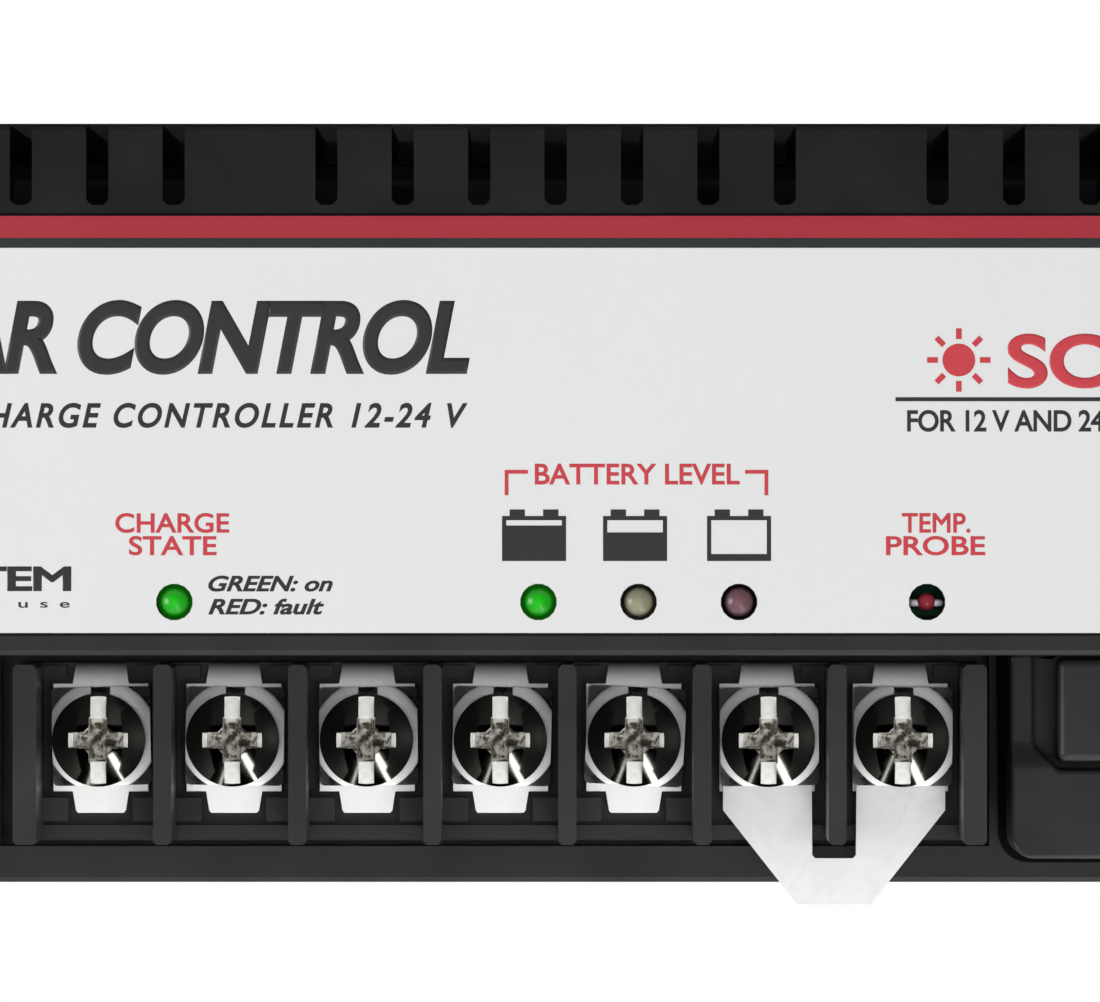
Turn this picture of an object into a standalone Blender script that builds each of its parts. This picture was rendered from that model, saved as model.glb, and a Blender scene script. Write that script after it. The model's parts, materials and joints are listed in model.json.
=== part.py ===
"""Wall-mounted solar charge controller: finned heatsink, moulded cover, label, seven clamp terminals, a link,
a pull-off service cover, and the boards, power parts and settings switches inside.

Everything hangs on the empty front_view, whose own axes are right (x), up (y) and out of the wall (z), and whose
origin is the centre of the wall face. Every dimension below is in millimetres in that view.
"""

from math import cos, pi, radians, sin

import bmesh
import bpy
from mathutils import Matrix, Vector

MM = 0.001
GAP = 0.3  # between neighbouring pieces that rest on each other

# Housing
HALF_WIDTH = 76.0
HALF_HEIGHT = 36.5
FRONT = 64.0  # the cover's front face
SHELF = 38.0  # the lower front wall, set back under the overhang
OVERHANG = -13.7  # underside of the front part of the cover
COVER_BACK = 25.3
WALL = 2.2
EDGE = 0.5  # moulded edge bevel
BOSS_X, BOSS_UP = 71.3, 31.3

# Heatsink
SINK_TOP = 38.6  # it stands a little above the cover
PLATE_BACK, PLATE_FRONT = 20.0, 25.0
LEG_WIDTH = 2.0
FOOT_REACH, FOOT_THICKNESS = 84.5, 3.5
FIN_PITCH, FIN_COUNT, FIN_THICKNESS, FIN_TIP = 8.0, 8, 1.8, 1.0
MOUNT_SLOT_X, MOUNT_SLOT_UP, MOUNT_SLOT_WIDTH = 80.3, 25.0, 4.8

# Ventilation slots over the cover's top edge
SLOT_WIDTH, SLOT_PITCH, SLOT_BOTTOM, SLOT_BACK = 2.1, 7.23, 28.93, 32.0
SLOT_STEPS = (-9, -8, -7, -6, -5, -3, -2, -1, 0, 1, 2, 3, 5, 6, 7, 8, 9)

# Label and indicators
LABEL_HALF_WIDTH, LABEL_BOTTOM, LABEL_TOP, LABEL_THICKNESS = 74.4, -11.58, 27.89, 0.4
LABEL_RECESS = LABEL_THICKNESS + GAP
LIGHT_UP, LIGHT_HOLE = -8.65, 1.75
LIGHTS = {
    "charging_led": (-36.08, "lit_green_lens"),
    "battery_led_green": (-1.62, "lit_green_lens"),
    "battery_led_amber": (7.85, "amber_lens"),
    "battery_led_red": (17.36, "red_lens"),
}
SENSOR_X = 35.16

# Terminals
POLES, PITCH, FIRST_POLE, POLE_UP = 7, 13.04, -44.49, -22.36
LINKED_POLES = (6, 7)
BLOCK_LEFT, BLOCK_RIGHT, BLOCK_BOTTOM, BLOCK_TOP = -52.4, 41.65, -32.3, -14.9
BLOCK_BACK, CELL_FLOOR, BARRIER_FRONT, BARRIER = 29.9, 38.9, 50.0, 1.75
FLANGE_LOW, FLANGE_HIGH, FLANGE_FRONT = (-55.5, -33.6), (43.2, -13.4), 34.0  # behind the cover's opening
CONTACT_BACK, CONTACT_FRONT = 39.2, 40.2
LEDGE_FRONT = 40.0  # moulded steps above and below each contact
CONTACT_HALF, CONTACT_TOP, CONTACT_BOTTOM = 5.3, -16.7, -27.8
TAB_HALF, TAB_TOP, TAB_BOTTOM = 2.75, -15.2, -29.6
LINK_THICKNESS = 0.8
CLAMP_HALF, CLAMP_THICKNESS, CLAMP_DOME = 4.8, 0.8, 0.7
CROWN_RADII = (5.45, 5.15, 4.3)  # the crown raised on each plate, at its foot, half way up and at its top
CLAMP_TWISTS = (1.0, -0.8, 0.6, -1.4, -3.0, 0.8, -0.5)  # how far each loose plate is turned, in degrees
HEAD_RADIUS, HEAD_HEIGHT, SHANK_RADIUS, SHANK_LENGTH = 4.6, 2.9, 2.2, 8.4
DRIVE_SLOT = 1.6

# Service opening, its pull-off cover, and what it covers
SERVICE_LOW, SERVICE_HIGH = (46.6, -32.2), (69.4, -15.2)
BOOT_LOW, BOOT_HIGH = (44.2, -33.8), (72.8, -14.0)
BOOT_FRONT, BOOT_UPPER_FRONT, BOOT_STEP, BOOT_CORNER = 47.0, 45.6, (-22.8, -24.7), 2.2
POCKET_LOW, POCKET_RIGHT, POCKET_CORNER, POCKET_FLOOR = (46.4, -25.2), 70.6, 2.4, 44.0
GRIP_LOW, GRIP_HIGH, GRIP_FRONT = (48.7, -24.3), (68.3, -14.4), 48.5
JACK_LOW, JACK_HIGH, JACK_FRONT = (54.55, -30.4), (67.55, -17.4), 41.9
DIP_LOW, DIP_HIGH, DIP_FRONT = (48.35, -29.9), (53.95, -18.2), 35.5
DIP_COUNT, DIP_PITCH, DIP_TRAVEL = 4, 2.54, 1.6
DIP_CENTRE = 0.5 * (DIP_LOW[1] + DIP_HIGH[1])

# Boards
BOARD_HALF_WIDTH, BOARD_BOTTOM, BOARD_TOP = 68.2, -33.6, 13.0
BOARD_BACK, BOARD_FRONT = 28.0, 29.6
LIGHT_BOARD_HALF, LIGHT_BOARD_BACK, LIGHT_BOARD_FRONT = 42.0, 55.6, 56.8
MOSFET_XS = (-45.0, -15.0, 15.0, 45.0)
CLAMP_SCREW_XS = (-30.0, 30.0)
BAR_UP = 21.5
CAPACITOR_XS = (-16.0, 2.0, 20.0)


# ---------------------------------------------------------------- tools


def clear_scene():
    for obj in list(bpy.data.objects):
        bpy.data.objects.remove(obj)


def material(name, colour, roughness, metallic=0.0):
    made = bpy.data.materials.new(name)
    made.use_nodes = True
    shader = made.node_tree.nodes["Principled BSDF"]
    shader.inputs["Base Color"].default_value = (*colour, 1.0)
    shader.inputs["Roughness"].default_value = roughness
    shader.inputs["Metallic"].default_value = metallic
    return made


def empty(name, parent=None, location=(0, 0, 0), rotation=(0, 0, 0)):
    made = bpy.data.objects.new(name, None)
    bpy.context.collection.objects.link(made)
    made.parent = parent
    made.location = [value * MM for value in location]
    made.rotation_euler = rotation
    return made


def add(name, bm, look, parent, location=(0, 0, 0)):
    """Turns a bmesh in millimetres into an object at location under parent."""
    bmesh.ops.recalc_face_normals(bm, faces=bm.faces)
    bmesh.ops.scale(bm, vec=(MM, MM, MM), verts=bm.verts)
    mesh = bpy.data.meshes.new(name)
    bm.to_mesh(mesh)
    bm.free()
    if look:
        mesh.materials.append(look)
    made = bpy.data.objects.new(name, mesh)
    bpy.context.collection.objects.link(made)
    made.parent = parent
    made.location = [value * MM for value in location]
    return made


def block(low, high):
    """A box between two corners."""
    bm = bmesh.new()
    size = Vector(high) - Vector(low)
    middle = (Vector(high) + Vector(low)) / 2
    bmesh.ops.create_cube(bm, size=1, matrix=Matrix.Translation(middle) @ Matrix.Diagonal((*size, 1)))
    return bm


def prism(outline, low, high, axis="z"):
    """An outline extruded along an axis: (x, y) points along z, or (z, y) points along x."""
    bm = bmesh.new()
    place = (lambda u, v: (u, v, low)) if axis == "z" else (lambda u, v: (low, v, u))
    face = bm.faces.new([bm.verts.new(place(u, v)) for u, v in outline])
    moved = bmesh.ops.extrude_face_region(bm, geom=[face])["geom"]
    step = (0, 0, high - low) if axis == "z" else (high - low, 0, 0)
    bmesh.ops.translate(bm, vec=step, verts=[item for item in moved if isinstance(item, bmesh.types.BMVert)])
    return bm


def turned(profile, sides, middle=(0, 0)):
    """A solid turned about the line along z through middle, from (radius, z) points; it closes on the axis."""
    bm = bmesh.new()
    rings = []
    for radius, z in profile:
        count = sides if radius > 0 else 1
        turns = [2 * pi * (k + 0.5) / count for k in range(count)]
        rings.append([
            bm.verts.new((middle[0] + radius * cos(turn), middle[1] + radius * sin(turn), z)) for turn in turns
        ])
    for near, far in zip(rings, rings[1:]):
        for k in range(sides):
            after = k + 1
            corners = (near[k % len(near)], near[after % len(near)], far[after % len(far)], far[k % len(far)])
            bm.faces.new(list(dict.fromkeys(corners)))
    for ring in (rings[0], rings[-1]):
        if len(ring) > 1:
            bm.faces.new(ring)
    return bm


def rod(radius, low, high, middle=(0, 0), sides=16):
    return turned([(radius, low), (radius, high)], sides, middle)


def chamfered(low, high, cut):
    """The corners of a rectangle with each corner cut off."""
    (x0, y0), (x1, y1) = low, high
    return [(x0 + cut, y0), (x1 - cut, y0), (x1, y0 + cut), (x1, y1 - cut),
            (x1 - cut, y1), (x0 + cut, y1), (x0, y1 - cut), (x0, y0 + cut)]


def combine(target, operation, shapes):
    """Joins the bmeshes to the target object, or cuts them from it, in order."""
    place = [value / MM for value in target.location]
    for shape in shapes:
        helper = add(f"{target.name}_{operation.lower()}", shape, None, target.parent, place)
        helper.rotation_euler = target.rotation_euler
        helper.hide_render = True
        helper.display_type = "WIRE"
        modifier = target.modifiers.new(operation.title(), "BOOLEAN")
        modifier.operation = operation
        modifier.solver = "EXACT"
        modifier.object = helper


def cut(target, *shapes):
    combine(target, "DIFFERENCE", shapes)


def join(target, *shapes):
    combine(target, "UNION", shapes)


def smooth(obj, angle=35):
    obj.data.shade_smooth()
    obj.data.set_sharp_from_angle(angle=radians(angle))


def corners_of(x, up):
    return [(side * x, level * up) for side in (-1, 1) for level in (-1, 1)]


def pole_x(number):
    return FIRST_POLE + PITCH * (number - 1)


# ---------------------------------------------------------------- housing


def make_heatsink(look):
    fins = [0.0] + [side * FIN_PITCH * (k + 1) + side * 2 for side in (-1, 1) for k in range(FIN_COUNT)]
    outline = [(-HALF_WIDTH, PLATE_FRONT), (-HALF_WIDTH, FOOT_THICKNESS), (-FOOT_REACH, FOOT_THICKNESS),
               (-FOOT_REACH, 0), (LEG_WIDTH - HALF_WIDTH, 0), (LEG_WIDTH - HALF_WIDTH, PLATE_BACK)]
    for x in sorted(fins):
        half = FIN_THICKNESS / 2 if x else 2.0
        tip = FIN_TIP if x else 0.0
        outline += [(x - half, PLATE_BACK), (x - half, tip), (x + half, tip), (x + half, PLATE_BACK)]
    outline += [(-x, z) for x, z in reversed(outline[:6])]
    bm = bmesh.new()
    face = bm.faces.new([bm.verts.new((x, -HALF_HEIGHT, z)) for x, z in outline])
    moved = bmesh.ops.extrude_face_region(bm, geom=[face])["geom"]
    raised = [item for item in moved if isinstance(item, bmesh.types.BMVert)]
    bmesh.ops.translate(bm, vec=(0, HALF_HEIGHT + SINK_TOP, 0), verts=raised)
    sink = add("heatsink", bm, look, VIEW)
    half = MOUNT_SLOT_WIDTH / 2
    for x, up in corners_of(MOUNT_SLOT_X, MOUNT_SLOT_UP):
        side = 1 if x > 0 else -1
        arc = [(x - side * half * cos(radians(a)), up + half * sin(radians(a))) for a in range(-90, 91, 30)]
        outer = side * (FOOT_REACH + 3)
        cut(sink, prism([*arc, (outer, up + half), (outer, up - half)], -3, FOOT_THICKNESS + 3))
    for x, up in corners_of(BOSS_X, BOSS_UP):
        cut(sink, rod(1.6, PLATE_BACK - 2, PLATE_FRONT + 2, (x, up), 12))
    for x in CLAMP_SCREW_XS:
        cut(sink, rod(1.8, PLATE_BACK - 2, PLATE_FRONT + 2, (x, BAR_UP), 12))
    for x in (-1, 1):
        join(sink, rod(2.8, PLATE_FRONT - 1, BOARD_BACK - GAP, (x * 61, 8.5), 12))
        cut(sink, rod(1.55, PLATE_FRONT - 2, BOARD_BACK + 1, (x * 61, 8.5), 12))
    return sink


def make_cover(look):
    def side_profile(inset, back):
        top, shelf, front = HALF_HEIGHT - inset, SHELF - inset, FRONT - inset
        under = OVERHANG + inset
        return [(back, -top), (shelf, -top), (shelf, under), (front, under), (front, top), (back, top)]

    cover = add("front_cover", prism(side_profile(0, COVER_BACK), -HALF_WIDTH, HALF_WIDTH, "x"), look, VIEW)
    edges = cover.modifiers.new("Edges", "BEVEL")
    edges.width = EDGE * MM
    edges.segments = 2
    inner = HALF_WIDTH - WALL
    cut(cover, prism(side_profile(WALL, COVER_BACK - 3), -inner, inner, "x"))
    for x, up in corners_of(BOSS_X, BOSS_UP):
        side = 1 if x > 0 else -1
        level = 1 if up > 0 else -1
        ends = sorted((x - side * 2.4, side * (inner + 1)))
        levels = sorted((up - level * 2.9, level * (HALF_HEIGHT - WALL + 1)))
        front = (FRONT if up > 0 else SHELF) - WALL + 1
        join(cover, block((ends[0], levels[0], COVER_BACK), (ends[1], levels[1], front)))
        cut(cover, rod(1.55, COVER_BACK - 2, 34.5, (x, up), 12))
    for step in SLOT_STEPS:
        x, half = step * SLOT_PITCH, SLOT_WIDTH / 2
        foot = [(x - half + EDGE, SLOT_BOTTOM), (x + half - EDGE, SLOT_BOTTOM), (x + half, SLOT_BOTTOM + EDGE),
                (x + half, HALF_HEIGHT + 3), (x - half, HALF_HEIGHT + 3), (x - half, SLOT_BOTTOM + EDGE)]
        cut(cover, prism(foot, SLOT_BACK, FRONT + 3))
    edge = GAP - 0.02
    cut(cover, block((-LABEL_HALF_WIDTH - edge, LABEL_BOTTOM - edge, FRONT - LABEL_RECESS),
                     (LABEL_HALF_WIDTH + edge, LABEL_TOP + edge, FRONT + 3)))
    for x in light_places():
        cut(cover, rod(LIGHT_HOLE, FRONT - WALL - 3, FRONT + 3, (x, LIGHT_UP), 16))
    cut(cover, block((-54.5, -32.96, SHELF - WALL - 2), (42.57, OVERHANG - 0.5, SHELF + 2)))
    cut(cover, block((*SERVICE_LOW, SHELF - WALL - 0.8), (*SERVICE_HIGH, SHELF + 2)))
    return cover


def light_places():
    return [x for x, _ in LIGHTS.values()] + [SENSOR_X]


def make_label(look):
    low, high = (-LABEL_HALF_WIDTH, LABEL_BOTTOM), (LABEL_HALF_WIDTH, LABEL_TOP)
    label = add("label_overlay", prism(chamfered(low, high, 0.6), FRONT - LABEL_THICKNESS, FRONT), look, VIEW)
    for x in light_places():
        cut(label, rod(LIGHT_HOLE, FRONT - 3, FRONT + 3, (x, LIGHT_UP), 16))


# ---------------------------------------------------------------- terminals


def make_terminal_block(look):
    base = block((BLOCK_LEFT, BLOCK_BOTTOM, BLOCK_BACK), (BLOCK_RIGHT, BLOCK_TOP, CELL_FLOOR))
    terminals = add("terminal_block", base, look, VIEW)
    join(terminals, block((*FLANGE_LOW, BLOCK_BACK), (*FLANGE_HIGH, FLANGE_FRONT)))
    half_cell = (PITCH - BARRIER) / 2
    edges = [BLOCK_LEFT] + [pole_x(n) - half_cell for n in range(1, POLES + 1)]
    ends = [pole_x(n) + half_cell for n in range(1, POLES + 1)] + [BLOCK_RIGHT]
    lefts = [BLOCK_LEFT] + ends[:-1]
    rights = edges[1:] + [BLOCK_RIGHT]
    for left, right in zip(lefts, rights):
        rib = chamfered((left, BLOCK_BOTTOM), (right, BLOCK_TOP), 0.35)
        join(terminals, prism(rib, CELL_FLOOR - 1, BARRIER_FRONT))
    for number in range(1, POLES + 1):
        x = pole_x(number)
        wide = half_cell + 0.4
        join(terminals, block((x - wide, BLOCK_BOTTOM + 0.3, CELL_FLOOR - 1), (x + wide, -30.8, LEDGE_FRONT)))
        for side in (-1, 1):
            low, high = sorted((x + side * 3.35, x + side * wide))
            join(terminals, block((low, -16.4, CELL_FLOOR - 1), (high, BLOCK_TOP - 0.3, LEDGE_FRONT)))
            if number not in LINKED_POLES:
                low, high = sorted((x + side * 3.15, x + side * wide))
                join(terminals, block((low, -30.4, CELL_FLOOR - 1), (high, -28.1, CONTACT_FRONT + 0.4)))
        cut(terminals, rod(2.8, 33.4, CELL_FLOOR + 2, (x, POLE_UP), 12))
        cut(terminals, block((x - 1.8, -16.6, BLOCK_BACK - 2), (x + 1.8, -15.7, CELL_FLOOR + 2)))


def make_contact(number, look):
    x = pole_x(number)
    plate = [(x - CONTACT_HALF, CONTACT_BOTTOM), (x - TAB_HALF, CONTACT_BOTTOM), (x - TAB_HALF + 0.3, TAB_BOTTOM),
             (x + TAB_HALF - 0.3, TAB_BOTTOM), (x + TAB_HALF, CONTACT_BOTTOM), (x + CONTACT_HALF, CONTACT_BOTTOM),
             (x + CONTACT_HALF, CONTACT_TOP), (x + TAB_HALF, CONTACT_TOP), (x + TAB_HALF - 0.3, TAB_TOP),
             (x - TAB_HALF + 0.3, TAB_TOP), (x - TAB_HALF, CONTACT_TOP), (x - CONTACT_HALF, CONTACT_TOP)]
    contact = add(f"terminal_contact_{number}", prism(plate, CONTACT_BACK, CONTACT_FRONT), look, VIEW)
    leg = block((x - 1.5, -16.4, BLOCK_BACK), (x + 1.5, -15.9, CONTACT_BACK + 0.5))
    join(contact, leg)
    cut(contact, rod(2.5, CONTACT_BACK - 2, CONTACT_FRONT + 2, (x, POLE_UP), 12))


def make_clamp_and_screw(number, clamp_look, screw_look):
    lift = LINK_THICKNESS + GAP if number in LINKED_POLES else 0.0
    back = CONTACT_FRONT + GAP + lift
    axis = empty(f"pole_{number}_axis", VIEW, (pole_x(number), POLE_UP, back))
    half, top = CLAMP_HALF, CLAMP_THICKNESS + CLAMP_DOME
    clamp = add(f"clamp_plate_{number}", prism(chamfered((-half, -half), (half, half), 0.5), 0, CLAMP_THICKNESS),
                clamp_look, axis)
    foot, waist, crest = CROWN_RADII
    crown = [(foot, CLAMP_THICKNESS - 0.3), (foot, CLAMP_THICKNESS), (waist, top - 0.25), (crest, top)]
    join(clamp, turned(crown, 24))
    for side in (-1, 1):
        low, high = sorted((side * half, side * 9))
        cut(clamp, block((low, -9, -1), (high, 9, top + 1)), block((-9, low, -1), (9, high, top + 1)))
    cut(clamp, block((-0.95, 2, CLAMP_THICKNESS + 0.15), (0.95, half + 1, top + 1)))
    cut(clamp, rod(2.6, -1, top + 1, sides=12))
    clamp.rotation_euler = (0, 0, radians(CLAMP_TWISTS[number - 1]))
    for modifier in clamp.modifiers:
        modifier.object.rotation_euler = clamp.rotation_euler

    seat = top + GAP
    dome = [(HEAD_RADIUS * cos(radians(a)), seat + 1.4 + (HEAD_HEIGHT - 1.4) * sin(radians(a))) for a in (12, 35, 60)]
    profile = [(0, seat - SHANK_LENGTH), (SHANK_RADIUS - 0.5, seat - SHANK_LENGTH),
               (SHANK_RADIUS, seat - SHANK_LENGTH + 0.5), (SHANK_RADIUS, seat), (HEAD_RADIUS - 0.25, seat),
               (HEAD_RADIUS, seat + 0.3), *dome, (0, seat + HEAD_HEIGHT)]
    screw = add(f"terminal_screw_{number}", turned(profile, 20), screw_look, axis)
    face = seat + HEAD_HEIGHT
    wide = HEAD_RADIUS + 1
    cut(screw, block((-DRIVE_SLOT / 2, -wide, face - 1.2), (DRIVE_SLOT / 2, wide, face + 1)))
    cut(screw, block((-3.0, -0.65, face - 2.0), (3.0, 0.65, face + 1)))
    smooth(screw)


def make_link(look):
    inner, outer = (pole_x(n) for n in LINKED_POLES)
    middle = (inner + outer) / 2
    reach, notch, shoulder, notch_top, foot, bottom = 10.85, 2.24, -29.3, -34.0, 3.6, -38.5
    top = -18.2
    outline = [(middle - foot, bottom), (middle + foot, bottom), (middle + reach, shoulder), (middle + reach, top),
               (middle + notch, top), (middle + notch - 0.1, notch_top + 0.3), (middle + notch - 0.4, notch_top),
               (middle - notch + 0.4, notch_top), (middle - notch + 0.1, notch_top + 0.3), (middle - notch, top),
               (middle - reach, top), (middle - reach, shoulder)]
    back = CONTACT_FRONT + GAP
    link = add("terminal_link", prism(outline, back, back + LINK_THICKNESS), look, VIEW)
    for x in (inner, outer):
        arc = [(x + 2.7 * cos(radians(a)), POLE_UP + 2.7 * sin(radians(a))) for a in range(180, 361, 30)]
        cut(link, prism([*arc, (x + 2.7, top + 2), (x - 2.7, top + 2)], back - 2, back + LINK_THICKNESS + 2))


# ---------------------------------------------------------------- service corner


def make_service_cover(look):
    (left, bottom), (right, top) = BOOT_LOW, BOOT_HIGH
    r = BOOT_CORNER
    arcs = [(left + r - r * cos(radians(a)), bottom + r - r * sin(radians(a))) for a in range(0, 91, 30)]
    outline = arcs + [(left + right - x, y) for x, y in reversed(arcs)] + [(right, top), (left, top)]
    base = SHELF + GAP
    pull = empty("service_cover_slide", VIEW, (0, 0, base))
    boot = add("service_cover", prism(outline, 0, BOOT_FRONT - base), look, pull)
    upper = [(BOOT_UPPER_FRONT - base, top + 2), (BOOT_UPPER_FRONT - base, BOOT_STEP[0]),
             (BOOT_FRONT - base, BOOT_STEP[1]), (BOOT_FRONT + 2 - base, BOOT_STEP[1]),
             (BOOT_FRONT + 2 - base, top + 2)]
    cut(boot, prism(upper, left - 2, right + 2, "x"))
    (x0, y0), x1, c = POCKET_LOW, POCKET_RIGHT, POCKET_CORNER
    pocket = [(x0, top + 2), (x0, y0 + c), (x0 + c, y0), (x1 - c, y0), (x1, y0 + c), (x1, top + 2)]
    cut(boot, prism(pocket, POCKET_FLOOR - base, BOOT_FRONT + 2 - base))
    grip = add("service_cover_grip", block((*GRIP_LOW, 43.0 - base), (*GRIP_HIGH, GRIP_FRONT - base)), None, pull)
    grip.hide_render = True
    grip.display_type = "WIRE"
    bevel = grip.modifiers.new("Edges", "BEVEL")
    bevel.width = 0.8 * MM
    bevel.segments = 1
    union = boot.modifiers.new("Grip", "BOOLEAN")
    union.operation = "UNION"
    union.object = grip
    (x0, y0), (x1, y1) = SERVICE_LOW, SERVICE_HIGH
    skirt = 36.5 - base
    join(boot, block((x0 + GAP, y0 + GAP, skirt), (x1 - GAP, y1 - GAP, 1.0)))
    inner = GAP + 1.2
    cut(boot, block((x0 + inner, y0 + inner, skirt - 1), (x1 - inner, y1 - inner, 42.2 - base)))


def make_jack(look):
    jack = add("data_jack", block((*JACK_LOW, BOARD_FRONT + GAP), (*JACK_HIGH, JACK_FRONT)), look, VIEW)
    x = (JACK_LOW[0] + JACK_HIGH[0]) / 2
    cut(jack, block((x - 4.9, -27.3, BOARD_FRONT + 2.4), (x + 4.9, -20.5, JACK_FRONT + 2)))
    cut(jack, block((x - 2.0, -29.2, BOARD_FRONT + 6.0), (x + 2.0, -26.8, JACK_FRONT + 2)))


def make_dip_switch(body_look, slider_look):
    body = add("dip_switch_body", block((*DIP_LOW, BOARD_FRONT + GAP), (*DIP_HIGH, DIP_FRONT)), body_look, VIEW)
    x = (DIP_LOW[0] + DIP_HIGH[0]) / 2
    for k in range(DIP_COUNT):
        up = DIP_CENTRE + DIP_PITCH * ((DIP_COUNT - 1) / 2 - k)
        cut(body, block((x - 1.9, up - 0.85, DIP_FRONT - 1.4), (x + 1.9, up + 0.85, DIP_FRONT + 2)))
        track = empty(f"dip_slider_{k + 1}_track", VIEW, (x - DIP_TRAVEL / 2, up, DIP_FRONT - 1.1))
        slider = add(f"dip_slider_{k + 1}", block((-0.7, -0.55, 0), (0.7, 0.55, 2.2)), slider_look, track)
        slider.modifiers.new("Edges", "BEVEL").width = 0.12 * MM


# ---------------------------------------------------------------- electronics


def make_lights(looks):
    for name, (x, look) in LIGHTS.items():
        base = LIGHT_BOARD_FRONT + GAP
        dome = [(1.5 * cos(radians(a)), 62.9 + 1.5 * sin(radians(a))) for a in (0, 30, 60)]
        profile = [(1.9, base), (1.9, base + 1), (1.5, base + 1), *dome, (0, 64.4)]
        smooth(add(name, turned(profile, 16, (x, LIGHT_UP)), looks[look], VIEW))


def make_sensor(look):
    bead = [(1.0 * cos(radians(a)), 61.9 + 1.0 * sin(radians(a))) for a in (-45, 0, 45)]
    sensor = add("temperature_sensor", turned([(0, 60.9), *bead, (0, 62.9)], 12, (SENSOR_X, LIGHT_UP)), look, VIEW)
    for side in (-1, 1):
        join(sensor, block((SENSOR_X + side * 0.55 - 0.2, LIGHT_UP - 0.2, LIGHT_BOARD_FRONT + GAP),
                           (SENSOR_X + side * 0.55 + 0.2, LIGHT_UP + 0.2, 61.6)))


def make_boards(look, header_look):
    board = add("main_board", block((-BOARD_HALF_WIDTH, BOARD_BOTTOM, BOARD_BACK),
                                    (BOARD_HALF_WIDTH, BOARD_TOP, BOARD_FRONT)), look, VIEW)
    for side in (-1, 1):
        cut(board, rod(1.6, BOARD_BACK - 2, BOARD_FRONT + 2, (side * 61, 8.5), 12))
    add("indicator_board", block((-LIGHT_BOARD_HALF, -11.1, LIGHT_BOARD_BACK),
                                 (LIGHT_BOARD_HALF, -3.2, LIGHT_BOARD_FRONT)), look, VIEW)
    x, up = -34.0, -5.2
    header = add("board_header", block((x - 5.1, up - 1.25, BOARD_FRONT + GAP), (x + 5.1, up + 1.25, 33.0)),
                 header_look, VIEW)
    join(header, block((x - 5.1, up - 1.25, 52.8), (x + 5.1, up + 1.25, LIGHT_BOARD_BACK - GAP)))
    for k in range(4):
        pin = x + 2.54 * (k - 1.5)
        join(header, block((pin - 0.32, up - 0.32, 32.5), (pin + 0.32, up + 0.32, 53.3)))


def make_inductor(core_look, wire_look):
    centre = Vector((-50.0, 2.2, 36.8))
    middle, half_width, half_height, corner = 7.8, 2.3, 4.0, 1.0
    profile = chamfered(
        (middle - half_width, centre.z - half_height), (middle + half_width, centre.z + half_height), corner
    )
    bm = bmesh.new()
    sides = 24
    rings = []
    for k in range(sides):
        turn = 2 * pi * k / sides
        rings.append([bm.verts.new((centre.x + r * cos(turn), centre.y + r * sin(turn), z)) for r, z in profile])
    for k in range(sides):
        near, far = rings[k], rings[(k + 1) % sides]
        for j in range(len(profile)):
            after = (j + 1) % len(profile)
            bm.faces.new((near[j], near[after], far[after], far[j]))
    add("inductor_core", bm, core_look, VIEW)

    turns, points, around, wire = 12, 10, 5, 0.6
    reach, lift = half_width + GAP + wire + 0.3, half_height + GAP + wire + 0.3

    def route(step):
        """A point on the winding: once round the core's section for each turn, on a rounded rectangle."""
        spin = 2 * pi * step / points
        travel = 2 * pi * step / (points * turns)
        u, v = cos(spin), sin(spin)
        size = (abs(u) ** 3 + abs(v) ** 3) ** (-1 / 3)
        r = middle + reach * u * size
        return centre + Vector((r * cos(travel), r * sin(travel), lift * v * size))

    bm = bmesh.new()
    count = turns * points
    rings = []
    for step in range(count):
        here, along = route(step), (route(step + 1) - route(step - 1)).normalized()
        spoke = Vector((cos(2 * pi * step / count), sin(2 * pi * step / count), 0))
        first = along.cross(spoke.cross(Vector((0, 0, 1)))).normalized()
        second = along.cross(first)
        rings.append([
            bm.verts.new(here + wire * (first * cos(2 * pi * j / around) + second * sin(2 * pi * j / around)))
            for j in range(around)
        ])
    for k in range(count):
        near, far = rings[k], rings[(k + 1) % count]
        for j in range(around):
            bm.faces.new((near[j], near[(j + 1) % around], far[(j + 1) % around], far[j]))
    smooth(add("inductor_winding", bm, wire_look, VIEW), 60)


def make_capacitors(look):
    for number, x in enumerate(CAPACITOR_XS, start=1):
        base = BOARD_FRONT + GAP
        profile = [(5.9, base), (6.25, base + 0.6), (6.25, base + 1.8), (5.9, base + 2.3), (6.25, base + 2.8),
                   (6.25, base + 23.6), (5.7, base + 24.4)]
        smooth(add(f"capacitor_{number}", turned(profile, 20, (x, 5.0)), look, VIEW))


def make_power_stage(look, pad_look, bar_look):
    pad = add("thermal_pad", block((-54, 15, PLATE_FRONT + GAP), (54, 33.0, PLATE_FRONT + 2 * GAP)), pad_look, VIEW)
    back = PLATE_FRONT + 3 * GAP
    for number, x in enumerate(MOSFET_XS, start=1):
        tab, case_front = back + 1.3, back + 4.4
        case = [(back, 16.5), (back, 32.2), (tab, 32.2), (tab, 25.6), (case_front, 25.0), (case_front, 16.5)]
        device = add(f"mosfet_{number}", prism(case, x - 5, x + 5, "x"), look, VIEW)
        for lead in (-2.54, 0, 2.54):
            join(device, block((x + lead - 0.4, 11.5, back + 1.0), (x + lead + 0.4, 17.0, back + 1.6)))
    bar = add("clamp_bar", block((-54, BAR_UP - 2.2, 30.6), (54, BAR_UP + 2.2, 31.8)), bar_look, VIEW)
    for x in CLAMP_SCREW_XS:
        cut(pad, rod(1.8, PLATE_FRONT, PLATE_FRONT + 2, (x, BAR_UP), 12))
        cut(bar, rod(1.8, 29, 33, (x, BAR_UP), 12))


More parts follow.
